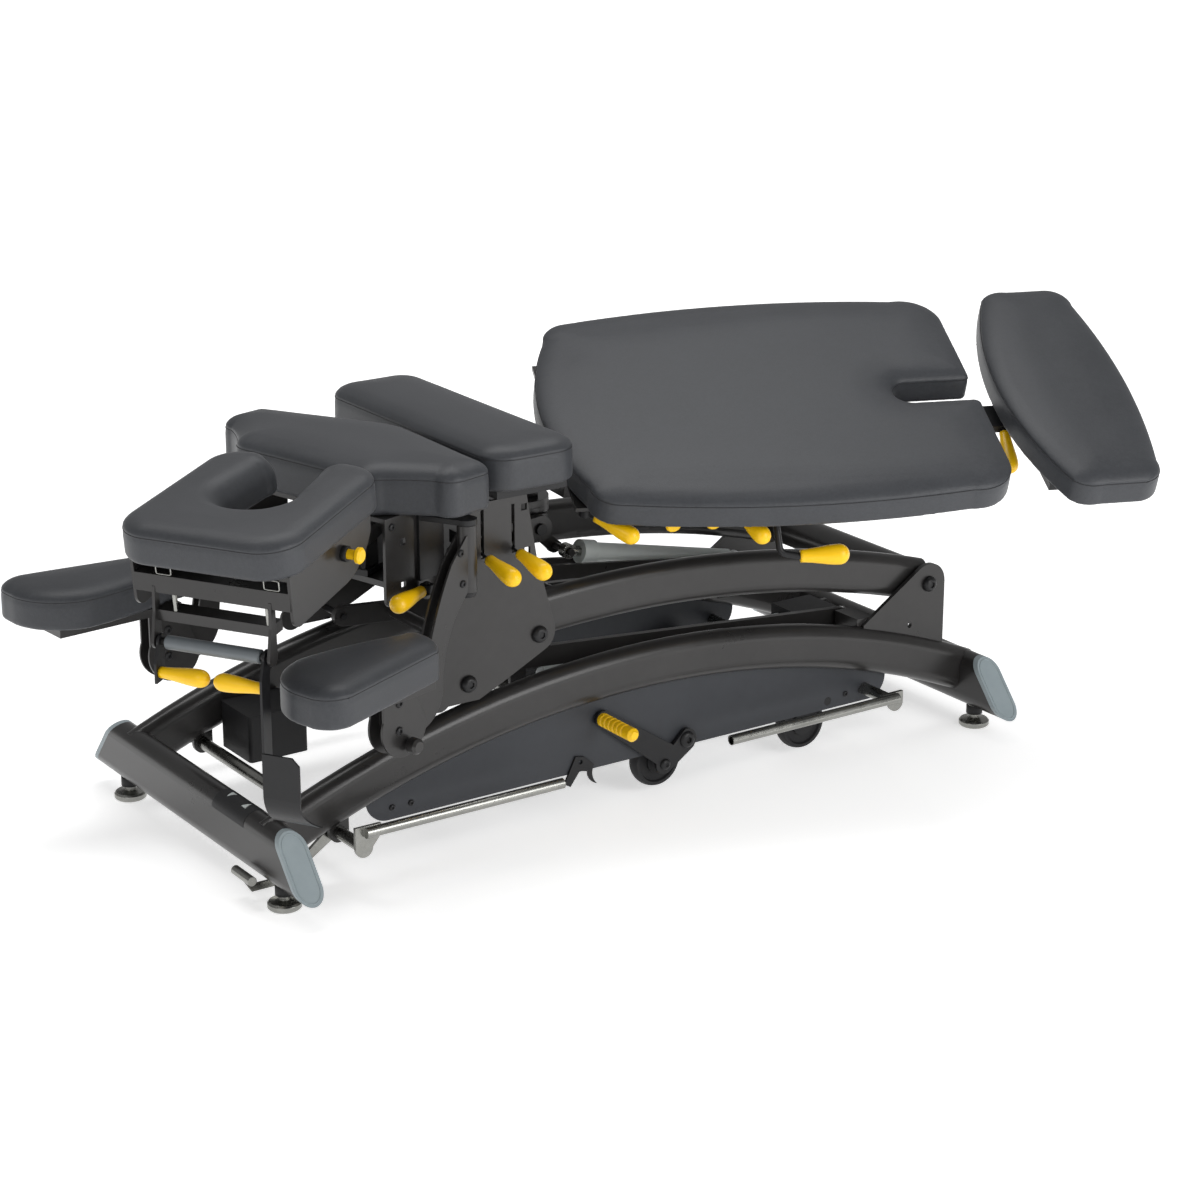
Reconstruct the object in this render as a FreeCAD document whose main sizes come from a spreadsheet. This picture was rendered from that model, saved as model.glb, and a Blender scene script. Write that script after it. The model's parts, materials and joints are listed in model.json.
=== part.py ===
import FreeCAD, Part
import math
import os

import Sketcher
from FreeCAD import Placement, Rotation, Vector

# Electric treatment table with hinged head, chest, belly, leg and foot cushions.
# Millimetres. +X runs to the foot end, -Y is the operator's near side, +Z is up.
# The origin is on the floor, midway between the four feet.

SIZES = dict(
    # base frame
    base_length=1450, foot_track=560, cross_tube_z=88, cross_tube_high=100, cross_tube_wide=50,
    cross_tube_top=570, cross_tube_bottom=740, tube_wall=3, cap_thick=12, side_tube_high=80,
    side_tube_wide=44, side_tube_end_z=98, side_bow=1780, foot_disc_radius=28, foot_disc_thick=13,
    foot_neck_radius=9.5, foot_neck_top=23, foot_sleeve_radius=13.5, foot_sleeve_top=55, foot_edge=3,
    running_gap=0.06, seat_gap=0.3, skirt_inset=16, skirt_thick=3, skirt_length=1090, skirt_bottom_z=82,
    skirt_nose=40, box_length=113, box_wide=106, box_high=84, box_x=-575, box_z=84, box_edge=6,
    box_tab_length=50, box_tab_high=20, box_tab_rise=24,
    # lift arms and parallel links
    lift_x=630, lift_z=284, lift_tube_radius=32, lift_plug_depth=45, lift_bolt_radius=8,
    bolt_head_radius=14, bolt_head_thick=8, bracket_gap=24, bracket_inset=8, bracket_thick=8,
    bracket_reach=150, bracket_round=38, arm_track=424, arm_high=78, arm_wide=40, arm_bow=2216,
    arm_rise=19, arm_overhang=36, carrier_x=-220, carrier_z=355, link_x=-359, link_z=296,
    link_track=330, link_thick=12, link_high=36, link_pin_radius=6, link_boss_length=40,
    link_boss_gap=5,
    # lift actuator
    actuator_x=600, actuator_z=165, actuator_tube_radius=21, actuator_rod_radius=12,
    actuator_eye_x=-120, actuator_eye_radius=17, actuator_pin_radius=6, actuator_tube_end=-50,
    gearbox_length=90, gearbox_wide=110, gearbox_high=70, motor_radius=36, motor_length=75, motor_y=-78,
    actuator_lug_y=24, lug_thick=8, eye_play=4.3, middle_tube_drop=20,
    # transport wheels
    wheel_pivot_x=92, wheel_pivot_z=97, wheel_radius=48, wheel_wide=24, wheel_gap=14, axle_back=47,
    axle_drop=36, axle_radius=6, axle_spare=8, lever_gap=10, lever_thick=6, lever_reach=178,
    lever_rise=75, arm_gap=5, wheel_shaft_radius=8, wheel_base=321, latch_x=-127, latch_z=101,
    latch_thick=4, grip_length=95, grip_radius=12, grip_rib_step=12, grip_rib_depth=2,
    # foot control frames
    foot_bar_radius=9, foot_bar_wall=2, foot_bar_bore=40, foot_bar_y=330, foot_bar_z=116,
    foot_arm_thick=6, foot_shaft_radius=11, head_shaft_x=-602, head_shaft_z=88, tail_shaft_x=496,
    tail_shaft_z=105, head_bar_inner_x=-225, tail_bar_inner_x=123, foot_lug_thick=8, foot_lug_half=18,
    pedal_y=-226, pedal_x=-768, pedal_z=46, pedal_radius=8, pedal_length=58, pedal_pass_z=16,
    pedal_bar_high=12,
    # carrier
    carrier_track=500, carrier_plate=6, carrier_top_z=600, beam_size=60, beam_z=460, beam_wall=4,
    tail_y=68, tail_thick=12, slot_low_z=505, slot_high_z=588, slot_wide=6, slot_front_x=-328,
    slot_rear_x=-269, hole_square=11, belly_x=-232, belly_length=184, belly_overhang=25,
    belly_board_thick=14, belly_high=76, belly_corner=55, belly_edge=14, belly_board_inset=24,
    drop_depth=70, drop_rise=20, drop_bar_radius=2.6, drop_neck=30, drop_pin_radius=5, drop_lug_gap=6,
    drop_lug_thick=5, drop_droop=10,
    # chest section
    chest_x=-255, chest_yaw=15, chest_pin_radius=12, swing_thick=10, tower_half=180, tower_front=315,
    tower_rear=185, tower_low_z=455, tower_plate=6, chest_bottom_z=604, chest_plate=8, chest_high=84,
    chest_front=326, chest_lobe_front=256, chest_lobe_rear=148, chest_rear=82, chest_half=272,
    chest_neck_half=166, post_u=205, post_v=256, post_radius=9, post_top_z=596, post_low_z=474,
    post_arm_thick=9, post_arm_half=17,
    # armrests
    rest_barrel_radius=16, rest_plate=4, rest_plate_gap=8, rest_pivot_a=160, rest_pivot_z=312,
    rest_pivot_radius=7, rest_disc_radius=52, rest_board_z=366, rest_board_thick=14, rest_high=70,
    rest_front=431, rest_rear=124, rest_far_swing=10, rest_knob_radius=13, rest_knob_length=26,
    rest_board_wide=90, rest_board_shift=26, rest_board_margin=50, rest_board_lap=10,
    # head section
    head_pivot=100, head_yaw=16.5, head_arm_half=40, head_arm_thick=10, head_hinge_u=215,
    head_hinge_z=575, head_hinge_radius=9, head_lug_v=64, head_front=592, head_half=136, head_plate=5,
    head_plate_low_z=572, head_rest_tilt=7, head_board_z=651, head_board_thick=8, head_high=66,
    head_cushion_front=628, head_cushion_rear=290, head_cushion_half=154, head_cushion_rear_half=142,
    face_half=48, face_front=490, face_rear_half=40, fold_low_z=603, fold_high=29, fold_deep=40,
    cheek_run=252, catch_drop=46, catch_high=18, catch_deep=30, roller_radius=11, roller_length=166,
    roller_u=602, roller_z=526, roller_rod_radius=6, hook_v=101, handle_length=82, handle_radius=12,
    handle_z=481, handle_strap_v=92, handle_crank=10, handle_crank_drop=28, strap_thick=4,
    strap_half=12, sheet_top_z=384, sheet_low_z=262, sheet_wide=62, sheet_thick=3, sheet_flare=18,
    sheet_curl=26, head_knob_back=161, head_knob_drop=21,
    # leg and foot sections
    leg_x=-99, leg_yaw=-21.9, leg_roll=22.6, leg_axis_z=569, leg_gap=30, leg_rise=110, leg_hinge_z=470,
    leg_axle_radius=10, yoke_radius=22, turntable_radius=55, turntable_thick=12, swivel_pin_radius=12,
    roll_tube_radius=30, roll_axle_radius=20, roll_housing=110, leg_length=785, leg_half=290,
    leg_end_half=205, leg_end_bow=45, leg_down=52, leg_crown=12, leg_board=8, slot_half=27,
    slot_depth=150, rail_y=110, rail_high=25, rail_wide=40, foot_gap=36, foot_length=245, foot_half=285,
    foot_bar_wide=60, foot_bar_thick=14, flexor_radius=17, flexor_rod_radius=9, flexor_y=-100,
    flexor_x=300, flexor_z=352, flexor_eye_x=-62, flexor_eye_z=432, flexor_tube_start=25,
    # hand levers and pull knobs
    lever_grip_length=78, lever_grip_radius=13, lever_shank_radius=6, knob_radius=13,
    knob_neck_radius=8, knob_length=32, knob_pin=20, hub_radius=11, hub_high=14, stud_radius=5,
    stud_reach=16, guide_block=24, leg_lever_front_x=80, leg_lever_rear_x=330, leg_lever_y=-190,
    leg_knob_front_x=222, leg_knob_rear_x=292, leg_knob_y=-206, leg_handle_x=398, leg_handle_inner=140,
    leg_handle_turn=240, leg_handle_out=276, leg_handle_drop=40, leg_handle_reach=42,
    leg_handle_bend=14, handle_guide_out=200, handle_guide_in=150, handle_guide_thick=12,
    handle_bore_margin=10,
)


class Size:
    """A sheet value that remembers its expression, so that sizes worked out from it stay bound."""

    def __init__(self, value, text):
        self.value = float(value)
        self.text = text

    def __float__(self):
        return self.value

    def __neg__(self):
        return Size(-self.value, "-(" + self.text + ")")

    def __add__(self, other):
        return combine(self, "+", other)

    def __radd__(self, other):
        return combine(other, "+", self)

    def __sub__(self, other):
        return combine(self, "-", other)

    def __rsub__(self, other):
        return combine(other, "-", self)

    def __mul__(self, other):
        return combine(self, "*", other)

    def __rmul__(self, other):
        return combine(other, "*", self)

    def __truediv__(self, other):
        return combine(self, "/", other)


def combine(left, sign, right):
    a, b = float(left), float(right)
    value = {"+": a + b, "-": a - b, "*": a * b, "/": a / b if b else 0.0}[sign]
    return Size(value, "(" + wording(left) + sign + wording(right) + ")")


def wording(value):
    return value.text if isinstance(value, Size) else repr(float(value))


class Dimensions:
    """Named sizes, one attribute for each cell of the sheet."""


class Via:
    """An arc of an outline: through a middle point to an end point."""

    def __init__(self, middle, end):
        self.middle = middle
        self.end = end


class Ring:
    """A round hole or disc in an outline."""

    def __init__(self, x, y, radius):
        self.x, self.y, self.radius = x, y, radius


doc = FreeCAD.newDocument("treatment_table")
sheet = doc.addObject("Spreadsheet::Sheet", "Sizes")
d = Dimensions()
for row, (alias, amount) in enumerate(SIZES.items(), start=1):
    sheet.set("A%d" % row, alias)
    sheet.set("B%d" % row, str(amount))
    sheet.setAlias("B%d" % row, alias)
    setattr(d, alias, Size(amount, "Sizes." + alias))
doc.recompute()

# Tracks that follow one another across the table.
d.bracket_track = d.arm_track + d.arm_wide + d.bracket_gap
d.side_track = d.bracket_track - d.bracket_inset
d.skirt_track = d.side_track - d.skirt_inset
d.lever_track = d.skirt_track + d.skirt_thick + d.lever_thick + d.lever_gap
d.wheel_track = d.skirt_track - d.skirt_thick - d.wheel_wide - d.wheel_gap
d.rear_arm_track = d.wheel_track - d.wheel_wide - d.arm_gap * 2 - d.lever_thick
d.belly_wide = d.carrier_track + d.carrier_plate + d.belly_overhang * 2

NODES = {}
ALONG_X = Rotation(Vector(0, 1, 0), 90)
ALONG_Y = Rotation(Vector(1, 0, 0), -90)
TURN_Z = Vector(0, 0, 1)


def at(x=0, y=0, z=0, turn=None):
    return Placement(Vector(float(x), float(y), float(z)), turn or Rotation())


def bind(thing, name, value):
    setattr(thing, name, float(value))
    if isinstance(value, Size):
        thing.setExpression(name, value.text)


def node(label, thing):
    thing.Label = label
    NODES[label] = thing
    return thing


def new(kind):
    return doc.addObject(kind, kind.split("::")[1])


def flat(point):
    return Vector(float(point[0]), float(point[1]), 0)


def at_point(geometry, place, point):
    """Two distances from the sketch's origin that hold a point."""
    return [(Sketcher.Constraint(kind, -1, 1, geometry, place, float(value)), value)
            for kind, value in zip(("DistanceX", "DistanceY"), point)]


def hold(sketch, wanted):
    """Adds all the constraints at once, so that nothing drifts, then binds those that follow the sheet."""
    indices = sketch.addConstraint([constraint for constraint, value in wanted])
    for index, (constraint, value) in zip(indices, wanted):
        if isinstance(value, Size):
            sketch.setExpression("Constraints[%d]" % index, value.text)


def end_place(sketch, geometry, point):
    return 1 if (sketch.Geometry[geometry].StartPoint - flat(point)).Length < 1e-6 else 2


def draw_ring(sketch, ring):
    geometry = sketch.addGeometry(Part.Circle(flat((ring.x, ring.y)), TURN_Z, float(ring.radius)), False)
    radius = (Sketcher.Constraint("Radius", geometry, float(ring.radius)), ring.radius)
    hold(sketch, at_point(geometry, 3, (ring.x, ring.y)) + [radius])


def left_turning_arc(start, middle, end):
    """Arc through three points, always drawn the way a sketch keeps its arcs."""
    turn = (middle - start).cross(end - middle).z
    return Part.Arc(start, middle, end) if turn > 0 else Part.Arc(end, middle, start)


def draw_loop(sketch, loop):
    """Closed outline of lines and three-point arcs, all corners and arc middles held to the sheet."""
    corners = [step.end if isinstance(step, Via) else step for step in loop]
    edges, wanted = [], []
    for number, step in enumerate(loop[1:] + loop[:1]):
        start, end = corners[number], corners[(number + 1) % len(corners)]
        if isinstance(step, Via):
            edge = sketch.addGeometry(left_turning_arc(flat(start), flat(step.middle), flat(end)), False)
            marker = sketch.addGeometry(Part.Point(flat(step.middle)), True)
            wanted += at_point(marker, 1, step.middle)
            wanted.append((Sketcher.Constraint("PointOnObject", marker, 1, edge), None))
        else:
            edge = sketch.addGeometry(Part.LineSegment(flat(start), flat(end)), False)
        edges.append((edge, end))
    for number, (edge, end) in enumerate(edges):
        following = edges[(number + 1) % len(edges)][0]
        here, there = end_place(sketch, edge, end), end_place(sketch, following, end)
        wanted.append((Sketcher.Constraint("Coincident", edge, here, following, there), None))
        wanted += at_point(edge, here, end)
    hold(sketch, wanted)


def sketched(body, plane, loops):
    sketch = body.newObject("Sketcher::SketchObject", "Outline")
    support = [feature for feature in body.Origin.OriginFeatures if feature.Role == plane][0]
    sketch.AttachmentSupport = [(support, "")]
    sketch.MapMode = "FlatFace"
    for loop in loops:
        if isinstance(loop, Ring):
            draw_ring(sketch, loop)
        else:
            draw_loop(sketch, loop)
    return sketch


def pad(plane, loops, length, place=None, middle=True):
    """Outline on one of the body's own planes, padded to a length."""
    body = new("PartDesign::Body")
    feature = body.newObject("PartDesign::Pad", "Pad")
    sketch = sketched(body, plane, loops)
    feature.Profile = sketch
    feature.Midplane = middle
    bind(feature, "Length", length)
    body.Tip = feature
    body.Placement = place or at()
    return body


def turned(loop, place=None):
    """Half outline of radius and height, turned about the upright axis."""
    body = new("PartDesign::Body")
    feature = body.newObject("PartDesign::Revolution", "Revolution")
    sketch = sketched(body, "XZ_Plane", [loop])
    feature.Profile = sketch
    feature.ReferenceAxis = (sketch, ["V_Axis"])
    feature.Angle = 360
    body.Tip = feature
    body.Placement = place or at()
    return body


def round_edges(body, radius, chosen):
    """Fillet on those edges of the finished body for which chosen(edge) is true."""
    doc.recompute()
    base = body.Tip
    names = ["Edge%d" % i for i, edge in enumerate(base.Shape.Edges, start=1) if chosen(edge)]
    feature = body.newObject("PartDesign::Fillet", "Fillet")
    feature.Base = (base, names)
    bind(feature, "Radius", radius)
    body.Tip = feature
    return body


def upright(edge):
    return abs(edge.BoundBox.ZLength - edge.Length) < 1e-3


def on_top(edge, body):
    top = body.Tip.Shape.BoundBox.ZMax
    return edge.BoundBox.ZMin > top - 1e-3


def cylinder(radius, length, place):
    thing = new("Part::Cylinder")
    bind(thing, "Radius", radius)
    bind(thing, "Height", length)
    thing.Placement = place
    return thing


def across(radius, length, x, y, z):
    """Round bar along Y with its middle at the given point."""
    return cylinder(radius, length, at(x, float(y) - float(length) / 2, z, ALONG_Y))


def box(length, width, height, place):
    thing = new("Part::Box")
    bind(thing, "Length", length)
    bind(thing, "Width", width)
    bind(thing, "Height", height)
    thing.Placement = place
    return thing


def fused(parts):
    thing = new("Part::MultiFuse")
    thing.Shapes = parts
    thing.Refine = True
    return thing


def cut(base, tools):
    for tool in tools:
        thing = new("Part::Cut")
        thing.Base = base
        thing.Tool = tool
        base = thing
    return base


def common(first, second):
    thing = new("Part::Common")
    thing.Base = first
    thing.Tool = second
    return thing


def group(parts):
    thing = new("Part::Compound")
    thing.Links = parts
    return thing


def carried(thing, place):
    """Moves a finished piece, such as a boolean, into its section's own frame."""
    thing.Placement = place.multiply(thing.Placement)
    return thing


def bent_rod(points, radius, bend):
    """Round rod along straight runs joined by tangent arcs of one bend radius."""
    points = [Vector(*[float(value) for value in point]) for point in points]
    edges, start = [], points[0]
    for before, corner, after in zip(points, points[1:], points[2:]):
        back, ahead = (before - corner).normalize(), (after - corner).normalize()
        half = back.getAngle(ahead) / 2
        reach = float(bend) / math.tan(half)
        first, last = corner + back * reach, corner + ahead * reach
        bisector = (back + ahead).normalize()
        inner = corner + bisector * (float(bend) / math.sin(half) - float(bend))
        edges += [Part.LineSegment(start, first).toShape(), Part.Arc(first, inner, last).toShape()]
        start = last
    edges.append(Part.LineSegment(start, points[-1]).toShape())
    path = Part.Wire(edges)
    section = Part.Wire(Part.makeCircle(float(radius), points[0], points[1] - points[0]))
    thing = new("Part::Feature")
    thing.Shape = path.makePipeShell([section], True, False)
    return thing


def stadium(high, wide, centre=0, inset=0):
    """Flat-sided oval, upright, about a centre on the sketch's upright axis."""
    half_wide, half_high = wide / 2 - inset, high / 2 - inset
    low, top = centre - half_high + half_wide, centre + half_high - half_wide
    return [
        Via((0, centre - half_high), (half_wide, low)),
        (half_wide, top),
        Via((0, centre + half_high), (-half_wide, top)),
        (-half_wide, low),
    ]


def bow_centre(start, end, bow):
    """Centre of the arc of radius bow that rises over the chord from start to end, in X and Z."""
    (x0, z0), (x1, z1) = start, end
    chord = math.hypot(x1 - x0, z1 - z0)
    tilt = math.atan2(z1 - z0, x1 - x0)
    fall = math.sqrt(bow ** 2 - (chord / 2) ** 2)
    centre = ((x0 + x1) / 2 + fall * math.sin(tilt), (z0 + z1) / 2 - fall * math.cos(tilt))
    return centre, tilt, math.degrees(math.asin(chord / 2 / bow))


def bowed_tube(start, end, bow, high, wide, y, extra=(0, 0), solid=False):
    """Oval tube swept along a rising arc, made as a part turn about the arc's centre."""
    centre, tilt, half_angle = bow_centre(start, end, float(bow))
    extra_low, extra_high = [math.degrees(length / float(bow)) for length in extra]
    body = new("PartDesign::Body")
    feature = body.newObject("PartDesign::Revolution", "Revolution")
    loops = [stadium(high, wide, bow)]
    if not solid:
        loops.append(stadium(high, wide, bow, d.tube_wall))
    sketch = sketched(body, "YZ_Plane", loops)
    feature.Profile = sketch
    feature.ReferenceAxis = (sketch, ["H_Axis"])
    feature.Angle = 2 * half_angle + extra_low + extra_high
    feature.Midplane = True
    body.Tip = feature
    turn = -math.degrees(tilt) + (extra_high - extra_low) / 2
    body.Placement = at(centre[0], y, centre[1], Rotation(Vector(0, 1, 0), turn))
    return body


def side_tube_z(x):
    """Height of the side tube's centre line over a point of the floor."""
    half = float(d.base_length) / 2
    centre, tilt, half_angle = bow_centre((-half, float(d.side_tube_end_z)),
                                          (half, float(d.side_tube_end_z)),
                                          float(d.side_bow))
    return centre[1] + math.sqrt(float(d.side_bow) ** 2 - float(x) ** 2)


def bolt(radius, length, head_radius, head_thick, place):
    """Button-headed bolt: head at z 0 and above, shank below."""
    crown = head_radius * 0.7
    return turned([(0, -length), (radius, -length), (radius, 0), (head_radius, 0),
                   (head_radius, head_thick / 2), (crown, head_thick), (0, head_thick)], place)


def facing(side):
    """Turn that points an upright piece away from the table, towards the near or far side."""
    return Rotation(Vector(1, 0, 0), -90 * side)


def hand_grip(length, radius):
    """Tapered grip with a round end, from the origin along +Z."""
    neck, flat_end, nose = radius * 0.62, radius * 0.4, radius * 0.6
    lean = math.sqrt(0.5)
    return turned([(0, 0), (neck, 0), (radius, length - nose),
                   Via((flat_end + nose * lean, length - nose + nose * lean), (flat_end, length)),
                   (0, length)])


def knob_pin_radius():
    return d.knob_neck_radius * 0.6


def pull_knob(place):
    """Sprung pull knob: flared head and neck in front of the origin, its pin behind, along +Z."""
    pin, neck, head, length = knob_pin_radius(), d.knob_neck_radius, d.knob_radius, d.knob_length
    return turned([(0, -d.knob_pin), (pin, -d.knob_pin), (pin, 0), (neck, 0), (neck, length - 12),
                   (head, length - 8), (head, length - 3), (head - 3, length), (0, length)], place)


# Base frame

half_base = d.base_length / 2
ENDS = (-1, 1)


def end_envelope(end):
    """Solid outer form of a cross tube, for coping what is welded to it."""
    return pad("XZ_Plane", [stadium(d.cross_tube_high, d.cross_tube_wide)], d.cross_tube_bottom,
               at(float(half_base) * end, 0, d.cross_tube_z))


def slanted(inner, outer):
    """Slab between two slanting end planes, seen from the end of the table."""
    top, low = d.cross_tube_high / 2, -d.cross_tube_high / 2
    return [(inner[0], top), (outer[0], top), (outer[1], low), (inner[1], low)]


def make_cross_tubes():
    tubes = []
    top, bottom = d.cross_tube_top / 2, d.cross_tube_bottom / 2
    for end in ENDS:
        place = at(float(half_base) * end, 0, d.cross_tube_z)
        walls = [stadium(d.cross_tube_high, d.cross_tube_wide),
                 stadium(d.cross_tube_high, d.cross_tube_wide, 0, d.tube_wall)]
        tube = pad("XZ_Plane", walls, d.cross_tube_bottom, place)
        trim = pad("YZ_Plane", [slanted((-top, -bottom), (top, bottom))], d.cross_tube_wide * 2, place)
        tubes.append(common(tube, trim))
    node("base_cross_tubes", group(tubes))


def make_end_caps():
    caps = []
    top, bottom = d.cross_tube_top / 2, d.cross_tube_bottom / 2
    for end in ENDS:
        place = at(float(half_base) * end, 0, d.cross_tube_z)
        for side in ENDS:
            bar = pad("XZ_Plane", [stadium(d.cross_tube_high, d.cross_tube_wide)],
                      d.cross_tube_bottom + 4 * d.cap_thick, place)
            slab = slanted((top * side, bottom * side),
                           ((top + d.cap_thick) * side, (bottom + d.cap_thick) * side))
            caps.append(common(bar, pad("YZ_Plane", [slab], d.cross_tube_wide * 2, place)))
    node("end_caps", group(caps))


def side_envelope(side):
    half = float(half_base)
    z = float(d.side_tube_end_z)
    return bowed_tube((-half, z), (half, z), d.side_bow, d.side_tube_high, d.side_tube_wide,
                      float(d.side_track) / 2 * side, solid=True)


def make_side_tubes():
    half, z, tubes = float(half_base), float(d.side_tube_end_z), []
    for side in ENDS:
        tube = bowed_tube((-half, z), (half, z), d.side_bow, d.side_tube_high, d.side_tube_wide,
                          float(d.side_track) / 2 * side)
        tubes.append(cut(tube, [end_envelope(-1), end_envelope(1)]))
    node("base_side_tubes", group(tubes))


def make_feet():
    feet = []
    disc, thick, edge = d.foot_disc_radius, d.foot_disc_thick, d.foot_edge
    neck, sleeve = d.foot_neck_radius, d.foot_sleeve_radius
    profile = [(0, 0), (disc - edge, 0), (disc, edge), (disc, thick - edge), (disc - edge, thick),
               (neck + edge * 2, thick + edge / 2), (neck, thick + edge), (neck, d.foot_neck_top),
               (sleeve, d.foot_neck_top), (sleeve, d.foot_sleeve_top), (0, d.foot_sleeve_top)]
    for end in ENDS:
        for side in ENDS:
            foot = turned(profile, at(float(half_base) * end, float(d.foot_track) / 2 * side, 0))
            feet.append(cut(foot, [end_envelope(end)]))
    node("levelling_feet", group(feet))


def make_lift_brackets():
    plates = []
    r = d.bracket_round
    left, right = d.lift_x - d.bracket_reach, d.lift_x + r
    low_left, low_right = side_tube_z(left), side_tube_z(right)
    outline = [(left, low_left), (right, low_right), (right, d.lift_z),
               Via((d.lift_x + r * 0.45, d.lift_z + r * 0.893),
                   (d.lift_x - r * 0.62, d.lift_z + r * 0.785)),
               (left, low_left + 45)]
    hole = Ring(d.lift_x, d.lift_z, d.lift_bolt_radius + d.running_gap)
    drain = Ring(d.lift_x - 42, d.lift_z - 72, 5)
    for side in ENDS:
        plate = pad("XZ_Plane", [outline, hole, drain], d.bracket_thick,
                    at(0, float(d.bracket_track) / 2 * side, 0))
        plates.append(cut(plate, [side_envelope(side)]))
    return plates


def make_base_lugs():
    """Link bosses on the side tubes and the actuator's clevis on the foot cross tube."""
    pieces = []
    link_x, link_z = link_base()
    inner = d.link_track / 2 + d.link_thick / 2 + d.link_boss_gap
    width = d.side_track / 2 - inner
    for side in ENDS:
        y = float(inner) if side > 0 else -float(inner) - float(width)
        low = side_tube_z(link_x) - 15
        block = box(d.link_boss_length, width, link_z + 18 - low,
                    at(link_x - float(d.link_boss_length) / 2, y, low))
        hole = across(d.link_pin_radius + d.running_gap, d.side_track, link_x, 0, link_z)
        pieces.append(cut(block, [side_envelope(side), hole]))
    face = half_base - d.cross_tube_wide / 2
    x, z = d.actuator_x, d.actuator_z
    ear = [(face, d.cross_tube_z - 22), (face, d.cross_tube_z + 22), (x + 14, z + 18), (x - 16, z + 18),
           (x - 18, z - 14)]
    for side in ENDS:
        hole = Ring(x, z, d.actuator_pin_radius + d.running_gap)
        pieces.append(pad("XZ_Plane", [ear, hole], d.lug_thick,
                          at(0, float(d.actuator_lug_y + d.lug_thick / 2) * side, 0)))
    return pieces


def link_base():
    """Base pivot of the lower links: the carrier's lower pivot moved by the arms' own vector."""
    return (float(d.link_x + d.lift_x - d.carrier_x), float(d.link_z + d.lift_z - d.carrier_z))


def make_base_bolts():
    bolts = []
    link_x, link_z = link_base()
    face = float(d.bracket_track + d.bracket_thick) / 2
    plug_start = float(d.arm_track + d.arm_wide) / 2
    for side in ENDS:
        length = face - plug_start + d.lift_plug_depth - 6
        bolts.append(bolt(d.lift_bolt_radius, length, d.bolt_head_radius, d.bolt_head_thick,
                          at(d.lift_x, face * side, d.lift_z, facing(side))))
        pin_out = float(d.side_track / 2 - d.side_tube_wide / 2) - 1
        pin_in = float(d.link_track / 2 - d.link_thick / 2) - 6
        bolts.append(across(d.link_pin_radius, pin_out - pin_in, link_x, (pin_out + pin_in) / 2 * side,
                            link_z))
    bolts.append(across(d.actuator_pin_radius, (d.actuator_lug_y + d.lug_thick) * 2 + 6, d.actuator_x, 0,
                        d.actuator_z))
    return bolts


def wheel_pivots():
    return [float(d.wheel_pivot_x), float(d.wheel_pivot_x + d.wheel_base)]


def make_skirts():
    """Sheet panels under the side tubes, bored for the wheel shafts and the tail foot frame."""
    panels = []
    half, low, nose = d.skirt_length / 2, d.skirt_bottom_z, d.skirt_nose
    bores = [Ring(x, d.wheel_pivot_z, d.wheel_shaft_radius + d.running_gap) for x in wheel_pivots()]
    bores.append(Ring(d.tail_shaft_x, d.tail_shaft_z, d.foot_shaft_radius + d.running_gap))
    top_end, top_middle = side_tube_z(half), side_tube_z(0)
    corner = nose * (1 - math.sqrt(0.5))
    outline = [Via((-half + corner, low + corner), (-half + nose, low)), (half - nose, low),
               Via((half - corner, low + corner), (half, low + nose)), (half, top_end),
               Via((0, top_middle), (-half, top_end)), (-half, low + nose)]
    for side in ENDS:
        panel = pad("XZ_Plane", [outline] + bores, d.skirt_thick, at(0, float(d.skirt_track) / 2 * side, 0))
        panels.append(cut(panel, [side_envelope(side)]))
    node("side_skirts", group(panels))


def make_foot_lugs():
    """Ears under the side tubes that carry the head foot frame's shaft."""
    x, z, half = d.head_shaft_x, d.head_shaft_z, d.foot_lug_half
    top = side_tube_z(x)
    outline = [Via((x, z - half), (x + half, z)), (x + half, top), (x - half, top), (x - half, z)]
    hole = Ring(x, z, d.foot_shaft_radius + d.running_gap)
    return [cut(pad("XZ_Plane", [outline, hole], d.foot_lug_thick,
                    at(0, float(d.side_track) / 2 * side, 0)),
                [side_envelope(side)]) for side in ENDS]


def make_control_box():
    """Box beside the far side tube, held to the skirt by a tab."""
    inner = float(d.side_track - d.side_tube_wide) / 2 - float(d.seat_gap)
    wall = float(d.skirt_track - d.skirt_thick) / 2
    plan = [(0, 0), (d.box_length, 0), (d.box_length, d.box_wide), (0, d.box_wide)]
    body = pad("XY_Plane", [plan], d.box_high, at(d.box_x, inner - float(d.box_wide), d.box_z),
               middle=False)
    round_edges(body, d.box_edge, upright)
    tab_x = float(d.box_x + d.box_length - d.box_edge - d.box_tab_length)
    tab = box(d.box_tab_length, wall - inner + 1, d.box_tab_high,
              at(tab_x, inner - 1, d.box_z + d.box_tab_rise))
    node("control_box", fused([body, tab]))


def make_claw_latch():
    """Two-legged catch on the near skirt that holds the pressed wheel lever."""
    x, z = d.latch_x, d.latch_z
    face = float(d.skirt_track + d.skirt_thick + d.latch_thick) / 2
    hook = [(x - 10, z + 12), (x + 8, z + 8), (x + 28, z - 10), Via((x + 24, z - 26), (x + 34, z - 46)),
            Via((x + 18, z - 34), (x + 15, z - 20)), (x - 2, z - 16), (x - 21, z - 41), (x - 33, z - 34)]
    node("claw_latch", pad("XZ_Plane", [hook, Ring(x, z, 4)], d.latch_thick, at(0, -face, 0)))


# Transport wheels


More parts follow.
